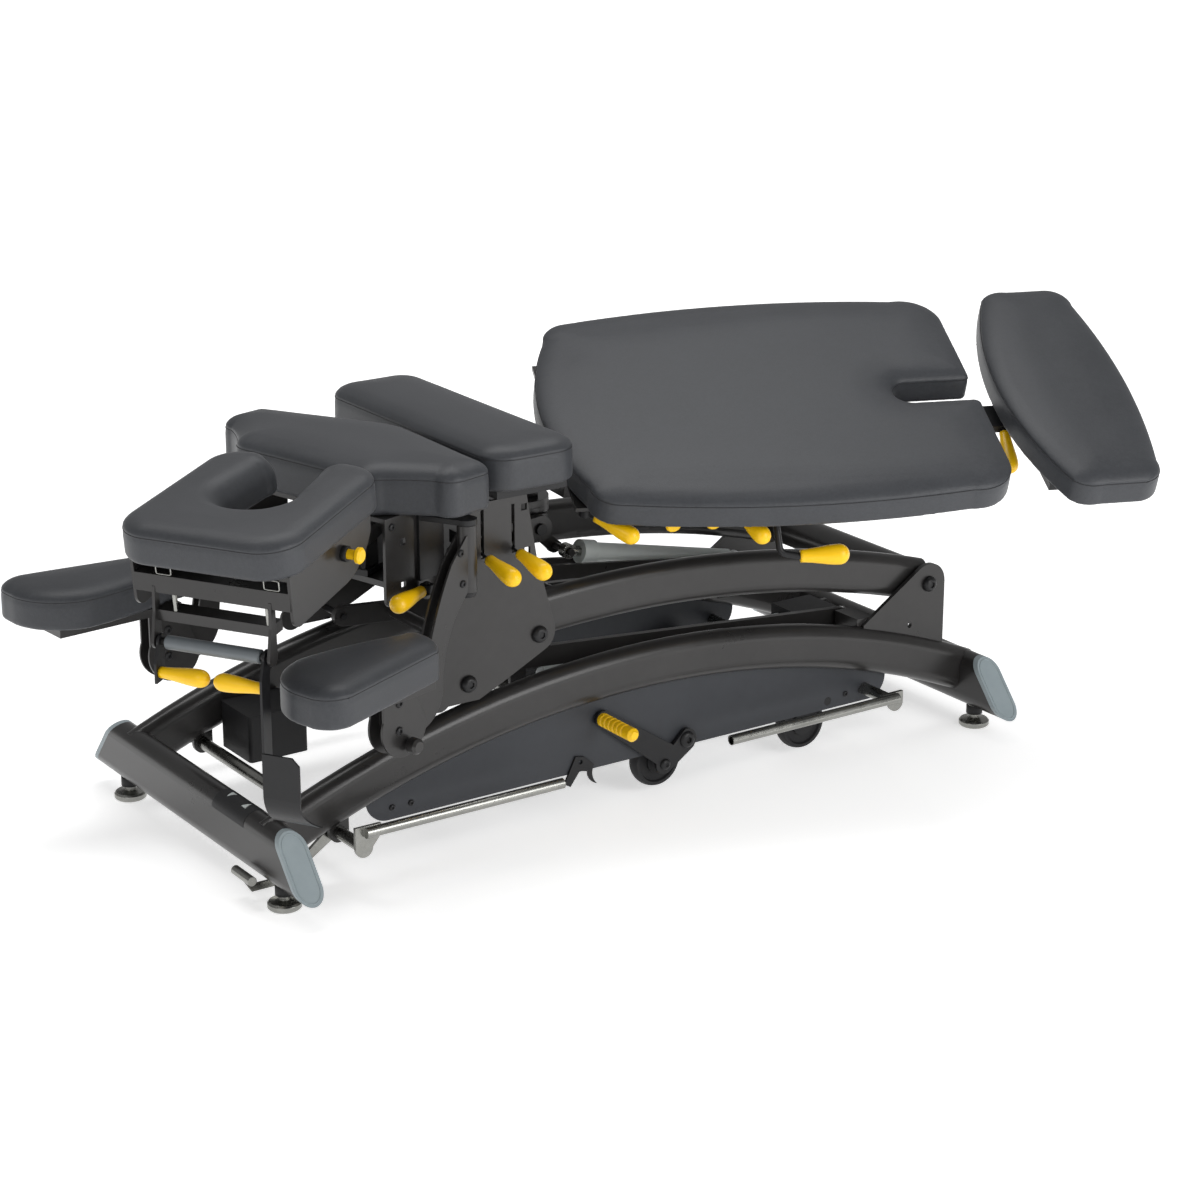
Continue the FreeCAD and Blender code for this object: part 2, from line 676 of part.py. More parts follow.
def make_wheel_arm(label, pivot_x, track, gripped):
    """Two plates on a shaft through the skirts; the near front plate runs on up to the foot grip."""
    x, z = pivot_x, d.wheel_pivot_z
    axle = (x - d.axle_back, z - d.axle_drop)
    grip_end = (x - d.lever_reach, z + d.lever_rise)
    ax, az = axle
    gx, gz = grip_end
    pivot_end = [(x + 20, z - 4), Via((x + 13, z + 15), (x - 4, z + 20))]
    axle_end = [(ax + 14, az - 12), (x + 14, z - 16)]
    lever = pivot_end + [(ax + 18, az + 32), (gx + 14, gz + 10), Via((gx - 8, gz + 12), (gx - 13, gz - 6)),
                         (ax - 18, az + 4), Via((ax - 6, az - 17), axle_end[0]), axle_end[1]]
    short = pivot_end + [(ax - 8, az + 18), Via((ax - 19, az), (ax - 6, az - 18))] + axle_end
    bore = Ring(ax, az, d.axle_radius + d.running_gap)
    y = float(track) / 2
    shaft = max(float(track), float(d.skirt_track + d.skirt_thick))
    plates = [pad("XZ_Plane", [lever if gripped else short, bore], d.lever_thick, at(0, -y, 0)),
              pad("XZ_Plane", [short, bore], d.lever_thick, at(0, y, 0)),
              across(d.wheel_shaft_radius, shaft, x, 0, z)]
    node(label, fused(plates))
    return axle, grip_end


def make_wheels(label, axle, track):
    y = float(d.wheel_track) / 2
    r = d.wheel_radius
    half = d.wheel_wide / 2
    hub = r * 0.45
    profile = [(0, -half), (hub, -half), (hub, -half + 5), (r * 0.78, -half + 5), (r * 0.82, -half),
               (r - 3, -half), Via((r, 0), (r - 3, half)), (r * 0.82, half), (r * 0.78, half - 5),
               (hub, half - 5), (hub, half), (0, half)]
    pair = [turned(profile, at(axle[0], y * side, axle[1], ALONG_Y)) for side in ENDS]
    length = max(float(track + d.lever_thick), float(d.wheel_track + d.wheel_wide)) + float(d.axle_spare)
    rod = across(d.axle_radius, length, axle[0], 0, axle[1])
    node(label, fused(pair + [rod]))


def make_wheel_grip(grip_end):
    """Ribbed foot grip, pointing out from the near lever plate."""
    radius, dip, step = d.grip_radius, d.grip_rib_depth, d.grip_rib_step
    ribs = int(float(d.grip_length) // float(step)) - 1
    profile = [(0, 0), (radius, 0)]
    for number in range(1, ribs + 1):
        profile += [(radius, step * number - 5), (radius - dip, step * number - 3),
                    (radius - dip, step * number - 1),
                    (radius, step * number)]
    profile += [(radius, d.grip_length - 6), (radius - 5, d.grip_length), (0, d.grip_length)]
    face = float(d.lever_track + d.lever_thick) / 2
    node("wheel_lever_grip", turned(profile, at(grip_end[0], -face, grip_end[1], facing(-1))))


# Foot control frames


def make_foot_frame(label, shaft_x, shaft_z, inner_x, pedal):
    """Cross shaft with an arm at each end that carries a tube to step on; the head one has a pedal."""
    z, r, spread = d.foot_bar_z, d.foot_bar_radius, d.foot_bar_y
    outward = -1 if float(inner_x) > float(shaft_x) else 1
    start, length = min(float(shaft_x), float(inner_x)), abs(float(inner_x) - float(shaft_x))
    mouth = float(inner_x) if outward > 0 else float(inner_x) - float(d.foot_bar_bore)
    arm_y = float(spread - r) + float(d.foot_arm_thick) / 2 - 2
    hub = d.foot_shaft_radius + 5
    arm = [(shaft_x + hub * outward, z + r), (shaft_x - hub * 2 * outward, z + r),
           (shaft_x - hub * 2 * outward, z - r), (shaft_x - hub * outward, shaft_z),
           Via((shaft_x, shaft_z - hub), (shaft_x + hub * outward, shaft_z))]
    pieces, bores = [across(d.foot_shaft_radius, arm_y * 2, shaft_x, 0, shaft_z)], []
    for side in ENDS:
        pieces.append(cylinder(r, length, at(start, float(spread) * side, z, ALONG_X)))
        bores.append(cylinder(r - d.foot_bar_wall, d.foot_bar_bore,
                              at(mouth, float(spread) * side, z, ALONG_X)))
        pieces.append(pad("XZ_Plane", [arm], d.foot_arm_thick, at(0, arm_y * side, 0)))
    if pedal:
        low, high, x = d.pedal_pass_z, d.pedal_bar_high, d.pedal_x
        under = d.cross_tube_wide / 2 + 6
        bar = [(shaft_x + 8, shaft_z - 8), (shaft_x - 4, shaft_z + 10), (-half_base + under, low + high),
               (-half_base - under + 4, low + high), (x + 4, d.pedal_z + 2), (x - 6, d.pedal_z - 2),
               (-half_base - under, low), (-half_base + under, low)]
        pieces.append(pad("XZ_Plane", [bar], d.foot_arm_thick, at(0, d.pedal_y, 0)))
        pieces.append(across(d.pedal_radius, d.pedal_length, x, d.pedal_y, d.pedal_z))
    node(label, cut(fused(pieces), [group(bores)]))


# Lift arms, links and actuator


def arm_ends():
    return ((float(d.carrier_x), float(d.carrier_z + d.arm_rise)), (float(d.lift_x), float(d.lift_z)))


def make_lift_arms():
    start, end = arm_ends()
    arms = []
    for side in ENDS:
        y = float(d.arm_track) / 2 * side
        tube = bowed_tube(start, end, d.arm_bow, d.arm_high, d.arm_wide, y, (float(d.arm_overhang), 0))
        pin = across(d.lift_bolt_radius + d.running_gap, d.arm_wide * 2, d.carrier_x, y, d.carrier_z)
        tools = [pin, lift_tube_envelope(), middle_tube_envelope()]
        arms.append(cut(tube, tools))
    node("lift_arms", group(arms))


def lift_tube_envelope():
    return across(d.lift_tube_radius, d.arm_track + d.arm_wide, d.lift_x, 0, d.lift_z)


def arm_z(x):
    """Height of the arms' centre line at rest."""
    start, end = arm_ends()
    centre, tilt, half_angle = bow_centre(start, end, float(d.arm_bow))
    return centre[1] + math.sqrt(float(d.arm_bow) ** 2 - (float(x) - centre[0]) ** 2)


def middle_tube_z():
    return arm_z(d.actuator_eye_x) - float(d.middle_tube_drop)


def middle_tube_envelope():
    return across(d.lift_tube_radius * 0.8, d.arm_track - d.arm_wide, d.actuator_eye_x, 0, middle_tube_z())


def make_lift_tubes():
    """Pivot tube with bored end plugs, and a middle tube whose ears take the actuator."""
    half = (d.arm_track + d.arm_wide) / 2
    bore = d.lift_bolt_radius + d.running_gap
    r, depth = d.lift_tube_radius, d.lift_plug_depth
    profile = [(bore, -half), (r, -half), (r, half), (bore, half), (bore, half - depth),
               (r - 5, half - depth),
               (r - 5, -half + depth), (bore, -half + depth)]
    pivot = turned(profile, at(d.lift_x, 0, d.lift_z, ALONG_Y))
    x, z = d.actuator_eye_x, d.actuator_z
    top = middle_tube_z()
    ear = [(x - 20, top), (x + 20, top), (x + 16, z), Via((x, z - 18), (x - 16, z))]
    inner = float(d.actuator_lug_y + d.lug_thick / 2)
    ears = [pad("XZ_Plane", [ear], d.lug_thick, at(0, inner * side, 0)) for side in ENDS]
    pin = across(d.actuator_pin_radius, (d.actuator_lug_y + d.lug_thick) * 2, x, 0, z)
    bar = across(d.lift_tube_radius * 0.8, d.arm_track - d.arm_wide, x, 0, top)
    node("lift_tubes", group([pivot, fused([bar] + ears + [pin])]))


def make_lower_links():
    base_x, base_z = link_base()
    x, z = float(d.link_x), float(d.link_z)
    angle = math.degrees(math.atan2(base_z - z, base_x - x))
    length = math.hypot(base_x - x, base_z - z)
    half = d.link_high / 2
    outline = [(0, half), Via((-half, 0), (0, -half)), (length, -half),
               Via((length + half, 0), (length, half))]
    holes = [Ring(0, 0, d.link_pin_radius + d.running_gap),
             Ring(length, 0, d.link_pin_radius + d.running_gap)]
    bars = []
    for side in ENDS:
        place = at(x, float(d.link_track) / 2 * side, z, Rotation(Vector(0, 1, 0), -angle))
        bars.append(pad("XZ_Plane", [outline] + holes, d.link_thick, place))
    tie = across(12, d.link_track - d.link_thick, x + (base_x - x) * 0.12, 0, z + (base_z - z) * 0.12)
    node("lower_links", fused(bars + [tie]))


def make_lift_actuator():
    x, z = d.actuator_x, d.actuator_z
    front = x - 30 - d.gearbox_length
    case = pad("XZ_Plane", [[(front, z - d.gearbox_high / 2), (x - 30, z - d.gearbox_high / 2),
               (x - 22, z - 16), (x + 2, z - 13), Via((x + 15, z), (x + 2, z + 13)), (x - 22, z + 16),
               (x - 30, z + d.gearbox_high / 2), (front, z + d.gearbox_high / 2)],
               Ring(x, z, d.actuator_pin_radius + d.running_gap)], d.actuator_lug_y * 2 - 1)
    head = box(d.gearbox_length, d.gearbox_wide, d.gearbox_high / 2,
               at(front, float(d.motor_y) - float(d.motor_radius) - 2, float(z)))
    motor = cylinder(d.motor_radius, d.motor_length, at(float(front) + float(d.motor_radius) + 4, d.motor_y,
                     float(z) + float(d.gearbox_high) / 2 - float(d.motor_length)))
    node("lift_motor", fused([case, head, motor]))
    tube_length = front - d.actuator_tube_end
    tube = cylinder(d.actuator_tube_radius, tube_length, at(d.actuator_tube_end, 0, z, ALONG_X))
    bore = cylinder(d.actuator_rod_radius + d.running_gap, tube_length - 20,
                    at(d.actuator_tube_end, 0, z, ALONG_X))
    node("lift_actuator_tube", cut(tube, [bore]))
    rod_start = d.actuator_eye_x + d.actuator_eye_radius - 4
    rod_length = d.actuator_tube_end - rod_start + tube_length * 0.6
    rod = cylinder(d.actuator_rod_radius, rod_length, at(rod_start, 0, z, ALONG_X))
    eye = across(d.actuator_eye_radius, d.actuator_lug_y * 2 - 6, d.actuator_eye_x, 0, z)
    hole = across(d.actuator_pin_radius + d.eye_play, d.actuator_lug_y * 3, d.actuator_eye_x, 0, z)
    node("lift_actuator_rod", cut(fused([rod, eye]), [hole]))


# Carrier and belly cushion


def make_carrier_plates():
    x, z = d.carrier_x, d.carrier_z
    lx, lz = d.link_x, d.link_z
    top = d.carrier_top_z
    outline = [(x - 22, top), (x - 3, z + 133), (x + 31, z + 12), Via((x + 26, z - 17), (x + 12, z - 29)),
               (lx + 76, lz - 7), (lx + 21, lz - 32), (lx - 39, lz - 32), Via((lx - 74, lz - 27),
                                                                              (lx - 70, lz - 3)),
               (lx - 59, lz + 9), (lx + 6, top - 40), (lx + 8, top)]
    holes = [Ring(x, z, d.lift_bolt_radius + d.running_gap),
             Ring(lx, lz, d.link_pin_radius + d.running_gap)]
    for slot_x in (d.slot_front_x, d.slot_rear_x):
        half = d.slot_wide / 2
        holes.append([(slot_x - half, d.slot_low_z), (slot_x + half, d.slot_low_z),
                      (slot_x + half, d.slot_high_z),
                      (slot_x - half, d.slot_high_z)])
    edge = d.hole_square
    for hole_x, hole_z in ((x - 33, top - 26), (x - 27, top - 101)):
        holes.append([(hole_x, hole_z), (hole_x + edge, hole_z), (hole_x + edge, hole_z + edge),
                      (hole_x, hole_z + edge)])
    near, far = [pad("XZ_Plane", [outline] + holes, d.carrier_plate,
                     at(0, float(d.carrier_track) / 2 * side, 0))
                 for side in ENDS]
    y, pin_z = drop_pivot()
    reach = d.drop_depth + 12
    lugs = []
    for slot_x in (d.slot_front_x, d.slot_rear_x):
        for side in ENDS:
            lug_x = float(slot_x) + float(d.drop_lug_gap + d.drop_lug_thick / 2) * side
            lug = [(-d.carrier_track / 2, pin_z - 11), (-d.carrier_track / 2 + reach, pin_z - 11),
                   (-d.carrier_track / 2 + reach, pin_z + 11), (-d.carrier_track / 2, pin_z + 11)]
            lugs.append(pad("YZ_Plane", [lug, Ring(y, pin_z, d.drop_pin_radius + d.running_gap)],
                            d.drop_lug_thick,
                            at(lug_x, 0, 0)))
    node("carrier_plates", group([fused([near] + lugs), far]))


def make_carrier_beam():
    """Square beam between the plates, bored for the chest pin, with ears for the leg hinge and flexor."""
    half = d.beam_size / 2
    x, z = d.chest_x, d.beam_z
    inner = half - d.beam_wall
    square = [(x - half, z - half), (x + half, z - half), (x + half, z + half), (x - half, z + half)]
    hollow = [(x - inner, z - inner), (x + inner, z - inner), (x + inner, z + inner),
              (x - inner, z + inner)]
    beam = pad("XZ_Plane", [square, hollow], d.carrier_track - d.carrier_plate)
    boss = cylinder(d.chest_pin_radius * 1.8, d.beam_size, at(x, 0, float(z - half)))
    leg_x, leg_z = d.leg_x, d.leg_hinge_z
    ear = [(x + half - 1, leg_z - 25), (leg_x - 8, leg_z - 22),
           Via((leg_x + 24, leg_z), (leg_x - 8, leg_z + 22)),
           (x + half - 1, leg_z + 18)]
    hole = Ring(leg_x, leg_z, d.leg_axle_radius + d.running_gap)
    ears = [pad("XZ_Plane", [ear, hole], d.tail_thick, at(0, float(d.tail_y) * side, 0)) for side in ENDS]
    fx, fz = d.flexor_x, d.flexor_z
    foot = z - half
    strap = [(x + half - 1, foot), (x + half - 1, foot + 30), (x + 90, foot - 2), (fx, fz + 12),
             Via((fx + 12, fz), (fx, fz - 12)), (x + 90, foot - 28)]
    strap_hole = Ring(fx, fz, d.link_pin_radius + d.running_gap)
    gap = float(d.flexor_radius) + 4
    straps = [pad("XZ_Plane", [strap, strap_hole], d.lug_thick, at(0, float(d.flexor_y) + gap * side, 0))
              for side in ENDS]
    bore = cylinder(d.chest_pin_radius + d.running_gap, d.beam_size * 2, at(x, 0, float(z - half * 2)))
    node("carrier_beam", cut(fused([beam, boss] + ears + straps), [bore]))


def make_carrier_bolts():
    bolts = []
    face = float(d.carrier_track + d.carrier_plate) / 2
    for side in ENDS:
        reach = face - float(d.arm_track - d.arm_wide) / 2 + 4
        bolts.append(bolt(d.lift_bolt_radius, reach, d.bolt_head_radius, d.bolt_head_thick,
                          at(d.carrier_x, face * side, d.carrier_z, facing(side))))
        reach = face - float(d.link_track - d.link_thick) / 2 + 4
        bolts.append(bolt(d.link_pin_radius, reach, d.bolt_head_radius, d.bolt_head_thick,
                          at(d.link_x, face * side, d.link_z, facing(side))))
    bolts.append(across(d.leg_axle_radius, (d.tail_y + d.tail_thick) * 2, d.leg_x, 0, d.leg_hinge_z))
    bolts.append(across(d.link_pin_radius, d.flexor_radius * 2 + 30, d.flexor_x, d.flexor_y, d.flexor_z))
    node("carrier_bolts", group(bolts))


def make_belly():
    half_x, half_y = d.belly_length / 2, d.belly_wide / 2
    inset = d.belly_board_inset
    board = box(d.belly_length - inset * 2, d.belly_wide - inset * 2, d.belly_board_thick,
                at(float(d.belly_x - half_x + inset), float(inset - half_y), d.carrier_top_z))
    node("belly_board", board)
    low = d.carrier_top_z + d.belly_board_thick + d.seat_gap
    outline = [(-half_x, -half_y), (half_x, -half_y), (half_x, half_y), (-half_x, half_y)]
    cushion = pad("XY_Plane", [outline], d.belly_high, at(d.belly_x, 0, low), middle=False)
    round_edges(cushion, d.belly_corner, upright)
    round_edges(cushion, d.belly_edge, lambda edge: on_top(edge, cushion))
    node("belly_cushion", cushion)


def drop_pivot():
    """Depth and height of the drop levers' pins behind the near carrier plate."""
    return -d.carrier_track / 2 + d.drop_depth, d.slot_low_z + d.drop_rise


def make_drop_lever(label, slot_x):
    """Lever through a slot of the near carrier plate, turning on its own pin between two lugs."""
    y, z = drop_pivot()
    bar = cylinder(d.drop_bar_radius, d.drop_depth + d.drop_neck, at())
    grip = hand_grip(d.lever_grip_length, d.lever_grip_radius)
    grip.Placement = at(0, 0, float(d.drop_depth + d.drop_neck) - 4)
    pivot = cylinder(d.drop_pin_radius, d.drop_lug_gap * 2 + 10,
                     at(-float(d.drop_lug_gap) - 5, 0, 0, ALONG_X))
    lever = fused([bar, grip, pivot])
    lever.Placement = at(slot_x, y, z, Rotation(Vector(1, 0, 0), 90 + float(d.drop_droop)))
    node(label, lever)


# Chest section

CHEST = at(d.chest_x, 0, 0, Rotation(TURN_Z, float(d.chest_yaw)))


def make_chest_tower():
    half, front, rear = d.tower_half, d.tower_front, d.tower_rear
    plate = d.tower_plate
    top = d.chest_bottom_z - d.seat_gap
    low = d.beam_z + d.beam_size / 2 + d.seat_gap
    swing = pad("XY_Plane", [[(40, -45), (40, 45), (-rear, half - plate / 2), (-front, half - plate / 2),
                              (-front, plate / 2 - half), (-rear, plate / 2 - half)]],
                d.swing_thick, at(0, 0, low), middle=False)
    side_outline = [(-front, d.tower_low_z + 14), Via((-front + 4, d.tower_low_z + 4),
                                                      (-front + 14, d.tower_low_z)),
                    (-rear, d.tower_low_z), (-rear, top - d.chest_plate), (-front, top - d.chest_plate)]
    windows = []
    for z in (d.tower_low_z + 26, d.tower_low_z + 98):
        x = -front + 34
        edge = d.hole_square
        windows.append([(x, z), (x + edge, z), (x + edge, z + edge), (x, z + edge)])
    sides = [pad("XZ_Plane", [side_outline] + windows, plate,
                 at(0, float(half) * side, 0)) for side in ENDS]
    table = box(d.tower_front - d.tower_rear, half * 2 + plate, d.chest_plate,
                at(-float(front), -float(half) - float(plate) / 2, float(top - d.chest_plate)))
    pin_low = d.beam_z - d.beam_size / 2
    pin = cylinder(d.chest_pin_radius, low - pin_low + 4, at(0, 0, pin_low))
    neck = cylinder(d.chest_pin_radius, d.swing_thick + d.head_arm_thick + 4,
                    at(-float(d.head_pivot), 0, float(low)))
    u, v, z = chest_lever_spot()
    ledge_top = z - d.hub_high / 2 - d.seat_gap
    ledge = box(d.hub_radius * 2, d.stud_reach + d.hub_radius, 6,
                at(float(u - d.hub_radius), float(v - d.hub_radius), float(ledge_top) - 6))
    stud = cylinder(d.stud_radius, d.hub_high + 5, at(u, v, float(ledge_top) - 1))
    node("chest_tower", carried(fused([swing] + sides + [table, pin, neck, ledge, stud]), CHEST))


def chest_outline():
    front, lobe, back, rear = d.chest_front, d.chest_lobe_front, d.chest_lobe_rear, d.chest_rear
    half, neck = d.chest_half, d.chest_neck_half
    near_side = [(-rear, -16), (-back, -half + 26), Via((-back - 10, -half + 7), (-back - 32, -half)),
                 (-lobe + 34, -half), Via((-lobe + 10, -half + 9), (-lobe, -half + 34)),
                 Via((-lobe - 20, -neck - 38), (-front + 22, -neck - 4)), Via((-front + 4, -neck + 16),
                                                                              (-front, -neck + 44))]
    far_side = [(-front, neck - 44), Via((-front + 4, neck - 16), (-front + 22, neck + 4)),
                Via((-lobe - 20, neck + 38), (-lobe, half - 34)), Via((-lobe + 10, half - 9),
                                                                      (-lobe + 34, half)),
                (-back - 32, half), Via((-back - 10, half - 7), (-back, half - 26)), (-rear, 16)]
    return near_side + far_side


def make_chest_cushion():
    cushion = pad("XY_Plane", [chest_outline()], d.chest_high, at(0, 0, d.chest_bottom_z), middle=False)
    cushion.Placement = CHEST.multiply(cushion.Placement)
    node("chest_cushion", cushion)


def chest_lever_spot():
    return -d.tower_rear - 55, -d.tower_half - d.tower_plate / 2 - d.stud_reach, d.tower_low_z + 20


def hub_lever(shank, direction):
    """Lever with a hub about the upright axis: shank and grip run off one way; it is bored for a stud."""
    hub = cylinder(d.hub_radius, d.hub_high, at(0, 0, -float(d.hub_high) / 2))
    turn = Rotation(TURN_Z, Vector(*direction))
    bar = cylinder(d.lever_shank_radius, d.hub_radius + shank, at(0, 0, 0, turn))
    grip = hand_grip(d.lever_grip_length, d.lever_grip_radius)
    grip.Placement = at(0, 0, 0, turn).multiply(at(0, 0, float(d.hub_radius + shank) - 2))
    bore = cylinder(d.stud_radius + d.running_gap, d.hub_high * 4, at(0, 0, -float(d.hub_high) * 2))
    return cut(fused([hub, bar, grip]), [bore])


def make_chest_lever():
    """Lock lever on an upright stud at the foot of the tower's near side."""
    u, v, z = chest_lever_spot()
    node("chest_lever", carried(hub_lever(8, (-0.97, -0.22, -0.02)), CHEST.multiply(at(u, v, z))))


def make_rest_posts():
    posts = []
    top, low = d.post_top_z, d.post_low_z
    for side in ENDS:
        u, v = -d.post_u, d.post_v * side
        wall = (d.tower_half + d.tower_plate / 2) * side
        half = d.post_arm_half
        arm = pad("XY_Plane", [[(u - half - 22, wall), (u + half, wall), (u + half, v),
                  Via((u, v + half * side), (u - half, v))]], d.post_arm_thick,
                  at(0, 0, float(top - d.post_arm_thick)), middle=False)
        flange = box(half * 2 + 22, 6, 110, at(float(u - half) - 22, float(wall) - (6 if side < 0 else 0),
                     float(top) - 110))
        pin = cylinder(d.post_radius, top - low, at(u, v, low))
        nut = turned([(0, -8), (12, -8), (14, -5), (14, 0), (0, 0)], at(u, v, low))
        posts.append(carried(fused([arm, flange, pin, nut]), CHEST))
    node("rest_posts", group(posts))


# Armrests


def rest_frame(side):
    swing = 0 if side < 0 else -float(d.rest_far_swing)
    return CHEST.multiply(at(-float(d.post_u), float(d.post_v) * side, 0, Rotation(TURN_Z, swing)))


def make_rest_arm(label, side):
    pa, pz = -d.rest_pivot_a, d.rest_pivot_z
    top, low = d.post_top_z - d.post_arm_thick - 1, d.post_low_z + 1
    r, inner = d.rest_barrel_radius, d.post_radius + d.running_gap
    barrel = turned([(inner, low), (r, low), (r, top), (inner, top)])
    outline = [(-12, low + 2), Via((-56, low - 62), (-72, pz + 28)), Via((-96, pz - 26), (pa, pz - 36)),
               Via((pa - 36, pz), (pa, pz + 36)), (pa + 46, pz + 34),
               Via((pa + 66, pz + 116), (-48, top - 55)), (-12, top - 14), (-4, top - 14)]
    hole = Ring(pa, pz, d.rest_pivot_radius + d.running_gap)
    spread = float(d.rest_plate_gap + d.rest_plate / 2)
    plates = [pad("XZ_Plane", [outline, hole], d.rest_plate, at(0, spread * face, 0)) for face in ENDS]
    bore = cylinder(inner, 400, at(0, 0, 300))
    node(label, carried(cut(fused([barrel] + plates), [bore]), rest_frame(side)))


def make_rest_bracket(label, side):
    """Round cheek plates outside the arm, the board under the cushion, the pivot bolt and a clamp knob."""
    pa, pz = -d.rest_pivot_a, d.rest_pivot_z
    r = d.rest_disc_radius
    board = d.rest_board_z
    outer = float(d.rest_plate_gap + d.rest_plate + d.seat_gap + d.rest_plate / 2)
    cheek = [(pa - r, board), (pa - r, pz), Via((pa, pz - r - 16), (pa + r - 8, pz - 20)),
             (pa + 22, pz + 30), (pa + 12, board)]
    cheeks = [pad("XZ_Plane", [cheek], d.rest_plate, at(0, outer * face, 0)) for face in ENDS]
    plate = box(d.rest_front - d.rest_board_margin - d.rest_pivot_a + d.rest_board_lap, d.rest_board_wide,
                d.rest_board_thick, at(d.rest_board_margin - d.rest_front,
                                       d.rest_board_shift * side - d.rest_board_wide / 2, board))
    pin = across(d.rest_pivot_radius, (outer + float(d.rest_plate) / 2) * 2, pa, 0, pz)
    knob_y = outer + float(d.rest_plate) / 2
    knob = turned([(0, 0), (6, 0), (6, 6), (d.rest_knob_radius, 8),
                   (d.rest_knob_radius, d.rest_knob_length - 4),
                   (d.rest_knob_radius - 4, d.rest_knob_length), (0, d.rest_knob_length)],
                  at(float(pa), knob_y * side, float(pz) - float(r) + 4, facing(side)))
    node(label, carried(fused(cheeks + [plate, pin, knob]), rest_frame(side)))


def make_rest_cushion(label, side):
    front, rear = -d.rest_front, -d.rest_rear
    out = side
    outline = [(rear - 6, 10 * -out), Via((rear, 43 * out), (rear - 30, 84 * out)), (front + 55, 123 * out),
               Via((front + 12, 108 * out), (front, 72 * out)), (front, 48 * out),
               Via((front + 27, -14 * out), (front + 95, -48 * out)),
               Via((front + 190, -34 * out), (rear - 30, -8 * out))]
    low = d.rest_board_z + d.rest_board_thick + d.seat_gap
    cushion = pad("XY_Plane", [outline], d.rest_high, at(0, 0, low), middle=False)
    cushion.Placement = rest_frame(side).multiply(cushion.Placement)
    node(label, cushion)


# Head section

HEAD = CHEST.multiply(at(-float(d.head_pivot), 0, 0, Rotation(TURN_Z, float(d.head_yaw))))
FACE = HEAD.multiply(at(-float(d.head_hinge_u), 0, d.head_hinge_z,
                        Rotation(Vector(0, 1, 0), -float(d.head_rest_tilt))))
FACE = FACE.multiply(at(d.head_hinge_u, 0, -float(d.head_hinge_z)))


def swing_top():
    return d.beam_z + d.beam_size / 2 + d.seat_gap + d.swing_thick


def make_head_arm():
    """Swing arm on the tower's second pin, with two ears for the tilt hinge."""
    low = swing_top() + d.seat_gap
    half = d.head_arm_half
    u, z = d.head_hinge_u, d.head_hinge_z
    plate = pad("XY_Plane", [[(32, -half), (32, half), (-u + 20, d.head_lug_v + 10),
                              (-u - 30, d.head_lug_v + 10),
                              (-u - 30, -d.head_lug_v - 10), (-u + 20, -d.head_lug_v - 10)],
                             Ring(0, 0, d.chest_pin_radius + d.running_gap)],
                d.head_arm_thick, at(0, 0, low), middle=False)
    ear = [(-u - 28, low + 2), (-u + 18, low + 2), (-u + 15, z), Via((-u, z + 15), (-u - 15, z))]
    hole = Ring(-u, z, d.head_hinge_radius + d.running_gap)
    ears = [pad("XZ_Plane", [ear, hole], d.lug_thick,
                at(0, float(d.head_lug_v) * side, 0)) for side in ENDS]
    node("head_arm", carried(fused([plate] + ears), HEAD))


